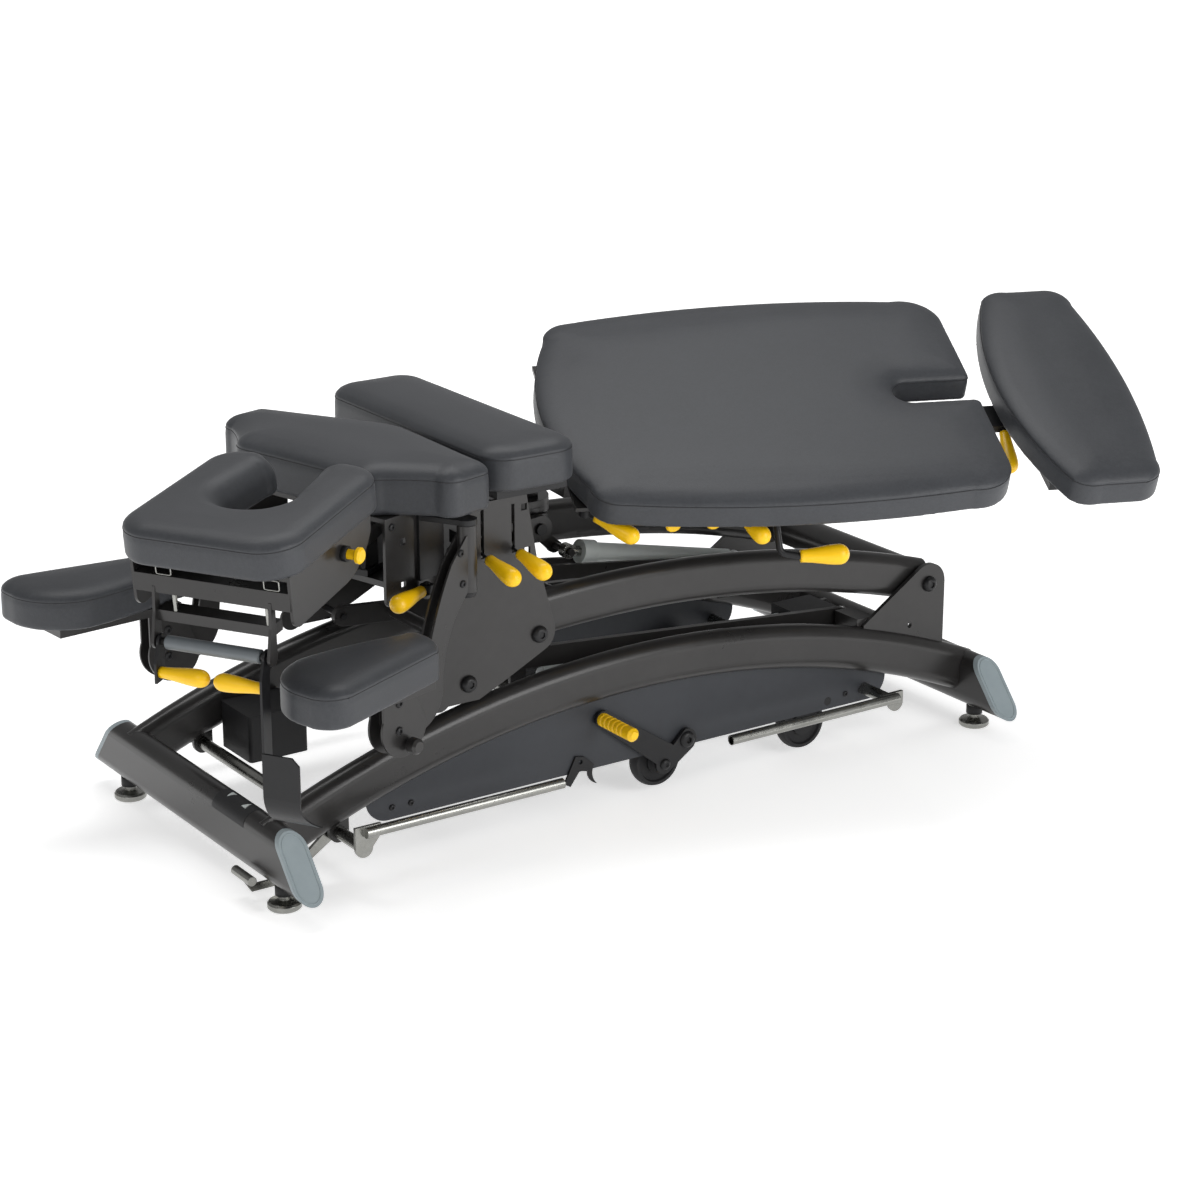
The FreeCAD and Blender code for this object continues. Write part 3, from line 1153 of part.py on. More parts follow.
def make_head_frame():
    """Folded frame under the face cushion: cheeks, channel, catch bar, rod, board and hinge straps."""
    u, z = d.head_hinge_u, d.head_hinge_z
    front, half, plate = d.head_front, d.head_half, d.head_plate
    board, low, top_z = d.head_board_z, d.head_plate_low_z, d.head_board_z + d.head_board_thick
    cheek = [(-front, board), (-front, low + 20), Via((-front + 6, low + 6), (-front + 22, low)),
             (-front + 150, low + 6), Via((-front + 215, low + 24), (-front + d.cheek_run - 2, board - 20)),
             (-front + d.cheek_run, board)]
    knob_hole = Ring(head_knob_u(), head_knob_z(), knob_pin_radius() + d.running_gap)
    cheeks = [pad("XZ_Plane", [cheek, knob_hole], plate, at(0, -float(half), 0)),
              pad("XZ_Plane", [cheek], plate, at(0, half, 0))]
    fold, crest, deep = d.fold_low_z, d.fold_low_z + d.fold_high, d.fold_deep
    channel = pad("XZ_Plane", [[(-front + deep, crest), (-front, crest), (-front - 2, fold),
                                (-front + deep / 2, fold),
                                (-front + deep / 2, fold + plate), (-front - 2 + plate, fold + plate),
                                (-front + plate, crest - plate), (-front + deep, crest - plate)]], half * 2)
    rod_u, rod_z = -d.roller_u, d.roller_z
    hook = [(-front + 8, fold + 10), (-front + 8, fold - 8), (rod_u + 12, rod_z),
            Via((rod_u, rod_z - 12), (rod_u - 12, rod_z)), (-front - 8, fold - 30), (-front - 2, fold + 10)]
    hooks = [pad("XZ_Plane", [hook], plate, at(0, float(d.hook_v) * side, 0)) for side in ENDS]
    catch = box(d.catch_deep, d.hook_v * 2, d.catch_high,
                at(-float(front) - 2, -float(d.hook_v), float(fold - d.catch_drop)))
    rod = across(d.roller_rod_radius, d.hook_v * 2 + plate, rod_u, 0, rod_z)
    top = box(d.cheek_run, half * 2 + plate, d.head_board_thick,
              at(-float(front), -float(half) - float(plate) / 2, board))
    strap = [(-front + 190, top_z), (-front + 235, top_z), (-u - 115, z + 23), (-u, z + 13),
             Via((-u + 13, z), (-u, z - 13)), (-u - 130, z - 13), (-front + 190, board - 40)]
    strap_v = float(d.head_lug_v) + float(d.lug_thick) + 6
    straps = [pad("XZ_Plane", [strap], d.lug_thick, at(0, strap_v * side, 0)) for side in ENDS]
    hinge = across(d.head_hinge_radius, strap_v * 2 + float(d.lug_thick), -u, 0, z)
    window = box(d.face_front - d.head_cushion_rear, d.face_half * 2 + 24, d.head_board_thick * 3,
                 at(-float(d.face_front), -float(d.face_half) - 12,
                    float(board) - float(d.head_board_thick)))
    pieces = cheeks + hooks + straps + [channel, catch, rod, cut(top, [window]), hinge]
    node("head_frame", carried(fused(pieces), FACE))


def make_head_cushion():
    front, rear = -d.head_cushion_front, -d.head_cushion_rear
    half, narrow = d.head_cushion_half, d.head_cushion_rear_half
    face, mouth = d.face_half, d.face_rear_half
    outline = [(front + 70, -half), Via((front + 16, -half + 22), (front, -half + 60)), (front, half - 60),
               Via((front + 16, half - 22), (front + 70, half)), (rear - 60, narrow + 8),
               Via((rear - 8, narrow - 20), (rear, (narrow + mouth) / 2)),
               Via((rear - 9, mouth + 6), (rear - 50, mouth)), (-d.face_front + face + 20, face),
               Via((-d.face_front, 0), (-d.face_front + face + 20, -face)),
               (rear - 50, -mouth), Via((rear - 9, -mouth - 6), (rear, -(narrow + mouth) / 2)),
               Via((rear - 8, -narrow + 20), (rear - 60, -narrow - 8))]
    low = d.head_board_z + d.head_board_thick + d.seat_gap
    cushion = pad("XY_Plane", [outline], d.head_high, at(0, 0, low), middle=False)
    cushion.Placement = FACE.multiply(cushion.Placement)
    node("head_cushion", cushion)


def head_knob_u():
    return -d.head_front + d.head_knob_back


def head_knob_z():
    return d.head_board_z - d.head_knob_drop


def make_head_knob():
    face = -d.head_half - d.head_plate / 2
    place = at(head_knob_u(), float(face) - 1, head_knob_z(), facing(-1))
    node("head_knob", pull_knob(FACE.multiply(place)))


def make_roller():
    """Grip sleeve that turns on the rod under the front fold."""
    r, inner, half = d.roller_radius, d.roller_rod_radius + d.running_gap, d.roller_length / 2
    sleeve = turned([(inner, -half), (r - 2, -half), (r, -half + 2), (r, half - 2), (r - 2, half),
                     (inner, half)],
                    FACE.multiply(at(-float(d.roller_u), 0, d.roller_z, ALONG_Y)))
    node("head_roller", sleeve)


def make_head_handle(label, side):
    """Cranked strap on the roller's rod with a grip pointing inwards; the near one also has a sheet."""
    u, v, top, z = -d.roller_u, d.handle_strap_v * side, d.roller_z, d.handle_z
    lean = math.tan(math.radians(float(d.head_rest_tilt)))
    eye, half = d.roller_rod_radius + 7, d.strap_half
    low = d.sheet_top_z - half if side < 0 else z - half - 2
    bend = top - d.handle_crank_drop
    bend_u = u - d.handle_crank - (top - bend) * lean
    low_u = u - d.handle_crank - (top - low) * lean
    strap = [Via((u, top + eye), (u + eye, top)), (bend_u + half, bend), (low_u + half, low),
             (low_u - half, low),
             (bend_u - half, bend), (u - eye, top)]
    hole = Ring(u, top, d.roller_rod_radius + d.running_gap)
    pieces = [pad("XZ_Plane", [strap, hole], d.strap_thick, at(0, float(v), 0))]
    grip = hand_grip(d.handle_length, d.handle_radius)
    grip.Placement = at(u - d.handle_crank - (top - z) * lean, v, z, Rotation(TURN_Z, Vector(0, -side, 0)))
    pieces.append(grip)
    if side < 0:
        pieces.append(make_sheet(low_u - half, v, lean))
    node(label, carried(fused(pieces), FACE))


def make_sheet(u, v, lean):
    """Upright sheet that faces the head end: flared outline, its foot curled back."""
    top, low, thick = d.sheet_top_z, d.sheet_low_z, d.sheet_thick
    bend = low + d.sheet_curl * 2
    bend_u = u - (top - bend) * lean
    foot_u = bend_u + d.sheet_curl
    inner, outer = v + d.strap_thick / 2, v - d.sheet_wide
    middle = (bend_u + d.sheet_curl * 0.2, low + d.sheet_curl)
    strip = [(u, top), (bend_u, bend), Via(middle, (foot_u, low)), (foot_u + thick, low),
             Via((middle[0] + thick, middle[1]), (bend_u + thick, bend)), (u + thick, top)]
    face = [(inner, top), (inner, low), (outer - d.sheet_flare, low),
            Via((outer, low + d.sheet_curl), (outer, bend)),
            (outer, top - d.strap_half), (outer + d.strap_half, top)]
    curved = pad("XZ_Plane", [strip], d.sheet_wide * 6)
    return common(curved, pad("YZ_Plane", [face], d.roller_u * 4))


# Leg and foot sections

LEG_YOKE = at(d.leg_x, 0, 0, Rotation(TURN_Z, float(d.leg_yaw)))
LEG_ROLL = LEG_YOKE.multiply(at(0, 0, d.leg_axis_z, Rotation(Vector(1, 0, 0), float(d.leg_roll))))
LEG = LEG_ROLL.multiply(at(d.leg_gap, 0, d.leg_rise))


def make_leg_yoke():
    """Barrel on the flexion axle with a round table on top, bored for the swivel pin."""
    x, z = d.leg_x, d.leg_hinge_z
    inner = float(d.tail_y - d.tail_thick / 2) - 0.5
    barrel = across(d.yoke_radius, inner * 2, x, 0, z)
    disc_low = z + d.yoke_radius - 2
    table = cylinder(d.turntable_radius, d.turntable_thick, at(x, 0, disc_low))
    block = box(d.yoke_radius * 2, inner * 2, d.yoke_radius, at(float(x - d.yoke_radius), -inner, float(z)))
    lever = [(x - 12, z - 8), (x + 14, z - 6), (d.flexor_eye_x + 14, d.flexor_eye_z + 2),
             Via((d.flexor_eye_x + 2, d.flexor_eye_z - 14), (d.flexor_eye_x - 12, d.flexor_eye_z - 6))]
    arm = pad("XZ_Plane", [lever], d.lug_thick,
              at(0, -inner + float(d.lug_thick) / 2, 0))
    pin_reach = float(-d.flexor_y) - inner + float(d.flexor_rod_radius) + 6
    pin = across(d.link_pin_radius, pin_reach + float(d.lug_thick), d.flexor_eye_x,
                 -inner + float(d.lug_thick) - (pin_reach + float(d.lug_thick)) / 2, d.flexor_eye_z)
    axle = across(d.leg_axle_radius + d.running_gap, 400, x, 0, z)
    socket = cylinder(d.swivel_pin_radius + d.running_gap, 200,
                      at(x, 0, float(z) + float(d.leg_axle_radius) + 3))
    node("leg_yoke", cut(fused([barrel, block, table, arm, pin]), [axle, socket]))


def yoke_top():
    return d.leg_hinge_z + d.yoke_radius - 2 + d.turntable_thick


def make_leg_swivel():
    """Turntable, neck and bored housing for the roll axle."""
    low = yoke_top() + d.seat_gap
    disc = cylinder(d.turntable_radius, d.turntable_thick, at(0, 0, low))
    neck = box(d.roll_housing * 0.6, d.roll_tube_radius * 1.4, d.leg_axis_z - low,
               at(-float(d.roll_housing) * 0.3, -float(d.roll_tube_radius) * 0.7, float(low)))
    housing = cylinder(d.roll_tube_radius, d.roll_housing,
                       at(-float(d.roll_housing) / 2, 0, d.leg_axis_z, ALONG_X))
    pin_low = float(d.leg_hinge_z + d.leg_axle_radius) + 5
    pin = cylinder(d.swivel_pin_radius, float(low) - pin_low + 4, at(0, 0, pin_low))
    bore = cylinder(d.roll_axle_radius + d.running_gap, d.roll_housing * 2,
                    at(-float(d.roll_housing), 0, d.leg_axis_z, ALONG_X))
    node("leg_swivel", carried(cut(fused([disc, neck, housing, pin]), [bore]), LEG_YOKE))


def make_leg_frame():
    """Roll axle with a thrust plate, two rails and the board under the leg cushion."""
    rise = d.leg_rise - d.leg_down - d.leg_board - d.seat_gap
    start = d.roll_housing / 2 + d.seat_gap
    axle = cylinder(d.roll_axle_radius, start + d.roll_housing / 2 + 14,
                    at(-float(d.roll_housing) / 2 - 6, 0, 0, ALONG_X))
    thrust = [(-d.rail_y - d.rail_wide / 2, rise), (-d.rail_y - d.rail_wide / 2, rise - d.rail_high),
              (-34, -36), (34, -36),
              (d.rail_y + d.rail_wide / 2, rise - d.rail_high), (d.rail_y + d.rail_wide / 2, rise)]
    plate = pad("YZ_Plane", [thrust], 12, at(float(start) + 6, 0, 0))
    length = d.leg_length - d.slot_depth - 60
    rails = [box(length, d.rail_wide, d.rail_high, at(float(start),
                                                      float(d.rail_y) * side - float(d.rail_wide) / 2,
                 float(rise - d.rail_high))) for side in ENDS]
    board = pad("XY_Plane", [[(60, -200), (60, 200), (length + 40, 215), (length + 40, -215)]], d.leg_board,
                at(0, 0, rise), middle=False)
    sleeve = box(190, d.foot_bar_wide + 16, d.foot_bar_thick + 12,
                 at(float(length) - 150, -float(d.foot_bar_wide) / 2 - 8,
                    float(rise - d.foot_bar_thick) - 12))
    sleeve_bore = box(400, d.foot_bar_wide + d.seat_gap * 2, d.foot_bar_thick + d.seat_gap * 2,
                      at(float(length) - 200, -float(d.foot_bar_wide) / 2 - float(d.seat_gap),
                         float(rise - d.foot_bar_thick) - 6 - float(d.seat_gap)))
    studs = [cylinder(d.stud_radius, d.hub_high + 6, at(x, d.leg_lever_y, float(rise - d.hub_high) - 5))
             for x in (d.leg_lever_front_x, d.leg_lever_rear_x)]
    side, level = d.guide_block, leg_control_level()
    blocks, bores = [], [sleeve_bore]
    for x in (d.leg_knob_front_x, d.leg_knob_rear_x):
        blocks.append(box(side, side, rise - level + side / 2,
                          at(float(x - side / 2), d.leg_knob_y + 1, float(level - side / 2))))
        bores.append(cylinder(knob_pin_radius() + d.running_gap, side * 3,
                              at(x, float(d.leg_knob_y) - 10, level, ALONG_Y)))
    for y in (-d.handle_guide_out, -d.handle_guide_in):
        blocks.append(box(side, d.handle_guide_thick, rise - level + side / 2,
                          at(float(d.leg_handle_x - side / 2), y, float(level - side / 2))))
    bores.append(cylinder(d.lever_shank_radius + d.running_gap, d.leg_handle_inner,
                          at(d.leg_handle_x, d.handle_bore_margin - d.leg_handle_turn, level, ALONG_Y)))
    frame = fused([axle, plate, board, sleeve] + rails + studs + blocks)
    node("leg_frame", carried(cut(frame, bores), LEG_ROLL))


def leg_outline():
    half, end, bow, length = d.leg_half, d.leg_end_half, d.leg_end_bow, d.leg_length
    slot, depth = d.slot_half, d.slot_depth
    near_side = [Via((0, 0), (bow, -end)), Via((bow + 12, -end - 34), (bow + 48, -half + 32)),
                 Via((length * 0.55, -half), (length - 85, -half + 14)),
                 Via((length - 18, -half + 38), (length, -half + 92)), (length, -slot - 12),
                 Via((length - 4, -slot - 4), (length - 12, -slot)), (length - depth + slot, -slot)]
    far_side = [Via((length - depth, 0), (length - depth + slot, slot)), (length - 12, slot),
                Via((length - 4, slot + 4), (length, slot + 12)), (length, half - 92),
                Via((length - 18, half - 38), (length - 85, half - 14)),
                Via((length * 0.55, half), (bow + 48, half - 32)), Via((bow + 12, end + 34), (bow, end))]
    return near_side + far_side


def make_leg_cushion():
    cushion = pad("XY_Plane", [leg_outline()], d.leg_down + d.leg_crown, at(0, 0, -d.leg_down),
                  middle=False)
    cushion.Placement = LEG.multiply(cushion.Placement)
    node("leg_cushion", cushion)


def make_foot_slide():
    """Flat bar that slides in the leg frame's sleeve and carries the foot cushion's board."""
    rise = d.leg_rise - d.leg_down - d.leg_board - d.seat_gap
    length = d.leg_length - d.slot_depth - 60
    start = d.leg_gap + d.leg_length + d.foot_gap
    low = float(rise - d.foot_bar_thick) - 6
    bar = box(float(start) + 190 - float(length) + 130, d.foot_bar_wide, d.foot_bar_thick,
              at(float(length) - 130, -float(d.foot_bar_wide) / 2, low))
    board_top = float(d.leg_rise - d.leg_down - d.seat_gap)
    board = box(d.foot_length - 90, d.foot_half * 1.5, board_top - low - float(d.foot_bar_thick) + 1,
                at(float(start) + 40, -float(d.foot_half) * 0.75, low + float(d.foot_bar_thick) - 1))
    grip = hand_grip(d.lever_grip_length, d.lever_grip_radius)
    grip.Placement = at(float(start) + 18, -float(d.foot_bar_wide) / 2 - 6, low + 2,
                        Rotation(TURN_Z, Vector(-0.1, -0.95, -0.3)))
    stub = cylinder(d.lever_shank_radius, 20, at(float(start) + 18, -float(d.foot_bar_wide) / 2 + 8,
                                                 low + 6,
                    Rotation(TURN_Z, Vector(-0.1, -0.95, -0.3))))
    node("foot_slide", carried(fused([bar, board, grip, stub]), LEG_ROLL))


def make_foot_cushion():
    length, half = d.foot_length, d.foot_half
    outline = [Via((0, 0), (52, -half + 20)), Via((72, -half + 3), (105, -half)), (length - 75, -half),
               Via((length - 36, -half + 14), (length - 22, -half + 55)), Via((length, 0),
                                                                              (length - 22, half - 55)),
               Via((length - 36, half - 14), (length - 75, half)), (105, half), Via((72, half - 3),
                                                                                    (52, half - 20))]
    cushion = pad("XY_Plane", [outline], d.leg_down + d.leg_crown,
                  at(d.leg_length + d.foot_gap, 0, -d.leg_down), middle=False)
    cushion.Placement = LEG.multiply(cushion.Placement)
    node("foot_cushion", cushion)


def flexor_line():
    """Rest direction of the leg flexor, from its eye to its foot."""
    run = Vector(float(d.flexor_x - d.flexor_eye_x), 0, float(d.flexor_z - d.flexor_eye_z))
    return run, Rotation(TURN_Z, run)


def make_flexor():
    run, turn = flexor_line()
    eye = at(d.flexor_eye_x, d.flexor_y, d.flexor_eye_z, turn)
    start = float(d.flexor_tube_start)
    length = run.Length - start - 20
    tube = cylinder(d.flexor_radius, length, eye.multiply(at(0, 0, start)))
    bore = cylinder(d.flexor_rod_radius + d.running_gap, length - 20, eye.multiply(at(0, 0, start)))
    collar = cylinder(d.flexor_radius + 4, 30, eye.multiply(at(0, 0, start)))
    tail = cylinder(10, 30, eye.multiply(at(0, 0, start + length - 6)))
    tail_eye = across(14, 20, d.flexor_x, d.flexor_y, d.flexor_z)
    tail_hole = across(d.link_pin_radius + d.running_gap, 80, d.flexor_x, d.flexor_y, d.flexor_z)
    node("leg_flexor_tube", cut(fused([tube, collar, tail, tail_eye]), [bore, tail_hole]))
    rod = cylinder(d.flexor_rod_radius, start + length * 0.5, eye)
    rod_eye = across(13, 16, d.flexor_eye_x, d.flexor_y, d.flexor_eye_z)
    rod_hole = across(d.link_pin_radius + 1.5, 80, d.flexor_eye_x, d.flexor_y, d.flexor_eye_z)
    node("leg_flexor_rod", cut(fused([rod, rod_eye]), [rod_hole]))


def leg_control_level():
    """Height of the knobs' and the handle's axes below the leg board, in the rolling frame."""
    return d.leg_rise - d.leg_down - d.leg_board - d.seat_gap - d.guide_block * 0.6


def make_leg_controls():
    hub_level = d.leg_rise - d.leg_down - d.leg_board - d.seat_gap * 2 - d.hub_high / 2
    paddle_way, lock_way = (0.75, -0.66, -0.12), (0.42, -0.9, -0.12)
    for label, x, way in (("leg_paddle", d.leg_lever_front_x, paddle_way),
                          ("leg_lock_lever", d.leg_lever_rear_x, lock_way)):
        node(label, carried(hub_lever(12, way), LEG_ROLL.multiply(at(x, d.leg_lever_y, hub_level))))
    level = leg_control_level()
    for label, x in (("leg_knob_front", d.leg_knob_front_x), ("leg_knob_rear", d.leg_knob_rear_x)):
        node(label, pull_knob(LEG_ROLL.multiply(at(x, d.leg_knob_y, level, facing(-1)))))
    x = d.leg_handle_x
    out, low, reach = -d.leg_handle_out, level - d.leg_handle_drop, d.leg_handle_reach
    rod = bent_rod([(x, -d.leg_handle_inner, level), (x, -d.leg_handle_turn, level), (x + 4, out, low),
                    (x + reach, out - 8, low - 4)], d.lever_shank_radius, d.leg_handle_bend)
    grip = hand_grip(d.lever_grip_length, d.lever_grip_radius + 2)
    grip.Placement = at(x + reach - 4, out - 7, low - 3.5, Rotation(TURN_Z, Vector(1, -0.1, 0.06)))
    node("leg_handle", carried(fused([rod, grip]), LEG_ROLL))


make_cross_tubes()
make_end_caps()
make_side_tubes()
make_feet()
node("base_brackets", group(make_lift_brackets() + make_base_lugs() + make_foot_lugs()))
node("base_pins", group(make_base_bolts()))
make_skirts()
make_control_box()
make_claw_latch()
front_axle, lever_end = make_wheel_arm("wheel_lever", d.wheel_pivot_x, d.lever_track, True)
make_wheels("front_wheels", front_axle, d.lever_track)
make_wheel_grip(lever_end)
rear_axle = make_wheel_arm("rear_wheel_arm", d.wheel_pivot_x + d.wheel_base, d.rear_arm_track, False)[0]
make_wheels("rear_wheels", rear_axle, d.rear_arm_track)
make_foot_frame("head_foot_frame", d.head_shaft_x, d.head_shaft_z, d.head_bar_inner_x, True)
make_foot_frame("tail_foot_frame", d.tail_shaft_x, d.tail_shaft_z, d.tail_bar_inner_x, False)
make_lift_arms()
make_lift_tubes()
make_lower_links()
make_lift_actuator()
make_carrier_plates()
make_carrier_beam()
make_carrier_bolts()
make_belly()
make_drop_lever("drop_lever_front", d.slot_front_x)
make_drop_lever("drop_lever_rear", d.slot_rear_x)
make_chest_tower()
make_chest_cushion()
make_chest_lever()
make_rest_posts()
for side_name, side_sign in (("near", -1), ("far", 1)):
    make_rest_arm("rest_arm_" + side_name, side_sign)
    make_rest_bracket("rest_bracket_" + side_name, side_sign)
    make_rest_cushion("rest_cushion_" + side_name, side_sign)
make_head_arm()
make_head_frame()
make_head_cushion()
make_head_knob()
make_roller()
make_head_handle("head_handle_near", -1)
make_head_handle("head_handle_far", 1)
make_leg_yoke()
make_leg_swivel()
make_leg_frame()
make_leg_cushion()
make_foot_slide()
make_foot_cushion()
make_flexor()
make_leg_controls()

doc.recompute()
for thing in doc.Objects:
    if "Invalid" in thing.State or "Error" in thing.State:
        raise RuntimeError("failed: " + thing.Label + " " + str(thing.State))
for label, thing in NODES.items():
    if thing.Shape.isNull() or not thing.Shape.isValid():
        raise RuntimeError("bad shape: " + label)

os.makedirs("parts", exist_ok=True)
for label, thing in NODES.items():
    thing.Shape.exportStep("parts/" + label + ".step")
    print(label, "solids", len(thing.Shape.Solids), "volume %.0f" % thing.Shape.Volume)
print(len(NODES), "nodes")
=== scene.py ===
# %% [markdown]
# # An electric treatment table
# This lesson dresses a table for manual therapy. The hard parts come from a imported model, which is the
# fixed frame: steel arches, plates, levers and wheels, each already on the body that it moves with.
# Here they get their finishes, and the soft parts are made new. Everything is in metres; +X runs to the
# foot end, -Y is the near side and +Z is up.

# %% Load the frame
import json
import math

import bmesh
import bpy
import numpy as np
from mathutils import Matrix, Vector


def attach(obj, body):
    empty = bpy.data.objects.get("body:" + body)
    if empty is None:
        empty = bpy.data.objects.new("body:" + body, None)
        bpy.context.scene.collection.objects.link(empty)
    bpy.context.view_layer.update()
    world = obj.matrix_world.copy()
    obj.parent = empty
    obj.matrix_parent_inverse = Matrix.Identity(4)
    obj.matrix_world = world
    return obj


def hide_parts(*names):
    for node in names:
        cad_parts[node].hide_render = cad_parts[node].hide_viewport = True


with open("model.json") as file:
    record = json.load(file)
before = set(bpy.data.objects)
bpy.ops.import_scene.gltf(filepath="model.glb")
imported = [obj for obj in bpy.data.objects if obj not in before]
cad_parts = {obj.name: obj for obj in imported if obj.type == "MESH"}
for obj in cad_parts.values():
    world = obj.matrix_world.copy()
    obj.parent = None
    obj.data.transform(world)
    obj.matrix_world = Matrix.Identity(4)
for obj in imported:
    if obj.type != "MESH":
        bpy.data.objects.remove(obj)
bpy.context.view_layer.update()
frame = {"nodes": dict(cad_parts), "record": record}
nodes = frame["nodes"]

# %% [markdown]
# ## Camera
# The photograph looks down on the near side from the head end. A long lens far away keeps the lines of
# the table nearly parallel. The focal length is given in pixels of a square picture, which the lens
# setting turns into millimetres of a 36 mm sensor.

# %% Camera
PICTURE_PIXELS = 1200
FOCAL_PIXELS = 2934
SENSOR_MM = 36
CAMERA_PLACE = (-2.725, -4.10, 1.95)
LOOK_DOWN = 18.5
LOOK_YAW = -34.33
camera_data = bpy.data.cameras.new("photo_camera")
camera_data.sensor_width = SENSOR_MM
camera_data.lens = FOCAL_PIXELS / PICTURE_PIXELS * SENSOR_MM
camera = bpy.data.objects.new("photo_camera", camera_data)
camera.location = CAMERA_PLACE
camera.rotation_euler = (math.radians(90 - LOOK_DOWN), 0, math.radians(LOOK_YAW))
bpy.context.scene.collection.objects.link(camera)
bpy.context.scene.camera = camera
print("camera lens", round(camera_data.lens, 1), "mm")

# %% [markdown]
# ## Surfaces from grids
# A new hard piece is a grid of points: rows along it, and points around each row. One helper joins
# neighbouring points into four-sided faces and closes both ends with a fan, so every piece is
# watertight.

# %% Grid helper
def surface(name, grid, closed_path=False, crisp=None):
    """Mesh of a grid of points [row, around, xyz]. Row k joins row k+1 all the way round; the first and
    last rows are closed with fans to their middle points, or joined to each other on a closed path. Edges
    that turn by more than the crisp angle, in degrees, stay sharp."""
    rows, around = grid.shape[:2]
    index = np.arange(rows * around).reshape(rows, around)
    following = np.roll(index, -1, axis=0) if closed_path else index[1:]
    start = index if closed_path else index[:-1]
    corners = [start, np.roll(start, -1, 1), np.roll(following, -1, 1), following]
    quads = np.stack(corners, -1).reshape(-1, 4)
    points = grid.reshape(-1, 3)
    faces = quads.tolist()
    if not closed_path:
        middles = np.stack([grid[0].mean(0), grid[-1].mean(0)])
        first = np.stack([np.roll(index[0], -1), index[0], np.full(around, rows * around)], -1)
        last = np.stack([index[-1], np.roll(index[-1], -1), np.full(around, rows * around + 1)], -1)
        points = np.concatenate([points, middles])
        faces += first.tolist() + last.tolist()
    mesh = bpy.data.meshes.new(name)
    mesh.from_pydata(points.tolist(), [], faces)
    form = bmesh.new()
    form.from_mesh(mesh)
    bmesh.ops.recalc_face_normals(form, faces=form.faces)
    form.to_mesh(mesh)
    form.free()
    mesh.polygons.foreach_set("use_smooth", np.ones(len(mesh.polygons), bool))
    if crisp:
        mesh.set_sharp_from_angle(angle=math.radians(crisp))
    piece = bpy.data.objects.new(name, mesh)
    bpy.context.scene.collection.objects.link(piece)
    return piece


def placed(points, place):
    """Points moved by a 4x4 placement, as one array product."""
    m = np.array(place)
    return points @ m[:3, :3].T + m[:3, 3]


def along(start, way):
    """Placement whose +Z runs from a start point along a direction."""
    turn = Vector(way).normalized().to_track_quat("Z", "X")
    return Matrix.Translation(Vector(start)) @ turn.to_matrix().to_4x4()


def circle(steps):
    """Even angles all the way round."""
    return np.linspace(0, 2 * math.pi, steps, endpoint=False)


def dress(piece, material, body):
    """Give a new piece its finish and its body."""
    piece.data.materials.clear()
    piece.data.materials.append(material)
    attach(piece, body)


print("grid helper ready")

# %% [markdown]
# ## Shared shader groups
# Real finishes are never even. Three effects are used by many materials, so each is a node group with
# named sockets: a soft cloudy tone, the fine peel of sprayed paint, and the grain of leatherette. A
# group gives out only values that change over the surface; the shader itself stays in the material.

# %% Shader groups
def start_group(name, inputs, outputs):
    """New shader group with float inputs (name: start value) and float outputs."""
    group = bpy.data.node_groups.new(name, "ShaderNodeTree")
    for label, value in inputs.items():
        socket = group.interface.new_socket(label, in_out="INPUT", socket_type="NodeSocketFloat")
        socket.default_value = value
    for label in outputs:
        group.interface.new_socket(label, in_out="OUTPUT", socket_type="NodeSocketFloat")
    return group, group.nodes.new("NodeGroupInput"), group.nodes.new("NodeGroupOutput")


def add_noise(tree, coords, scale, detail, roughness=0.5):
    """Noise texture on given coordinates; its scale may be a socket or a number."""
    noise = tree.nodes.new("ShaderNodeTexNoise")
    noise.inputs["Detail"].default_value = detail
    noise.inputs["Roughness"].default_value = roughness
    tree.links.new(coords, noise.inputs["Vector"])
    if isinstance(scale, (int, float)):
        noise.inputs["Scale"].default_value = scale
    else:
        tree.links.new(scale, noise.inputs["Scale"])
    return noise.outputs["Fac"]


def add_math(tree, operation, left, right):
    """Math node whose operands may be sockets or numbers."""
    node = tree.nodes.new("ShaderNodeMath")
    node.operation = operation
    for socket, value in zip(node.inputs, (left, right)):
        if isinstance(value, (int, float)):
            socket.default_value = value
        else:
            tree.links.new(value, socket)
    return node.outputs[0]


def object_coords(tree):
    return tree.nodes.new("ShaderNodeTexCoord").outputs["Object"]


def make_cloud_group():
    """Tone: two sizes of noise added, for patchy colour and gloss."""
    group, taken, given = start_group("cloudy_tone", {"Scale": 6.0}, ["Tone"])
    where = object_coords(group)
    broad = add_noise(group, where, taken.outputs["Scale"], 4)
    finer = add_noise(group, where, add_math(group, "MULTIPLY", taken.outputs["Scale"], 9.0), 3)
    tone = add_math(group, "ADD", add_math(group, "MULTIPLY", broad, 0.65),
                    add_math(group, "MULTIPLY", finer, 0.35))
    group.links.new(tone, given.inputs["Tone"])
    return group


def make_peel_group():
    """Height: fine noise, the orange peel of a sprayed coat, with sparse specks."""
    group, taken, given = start_group("coat_peel", {"Scale": 700.0}, ["Height"])
    where = object_coords(group)
    peel = add_noise(group, where, taken.outputs["Scale"], 2)
    specks = add_noise(group, where, add_math(group, "MULTIPLY", taken.outputs["Scale"], 2.6), 1)
    height = add_math(group, "ADD", peel, add_math(group, "MULTIPLY", specks, 0.4))
    group.links.new(height, given.inputs["Height"])
    return group


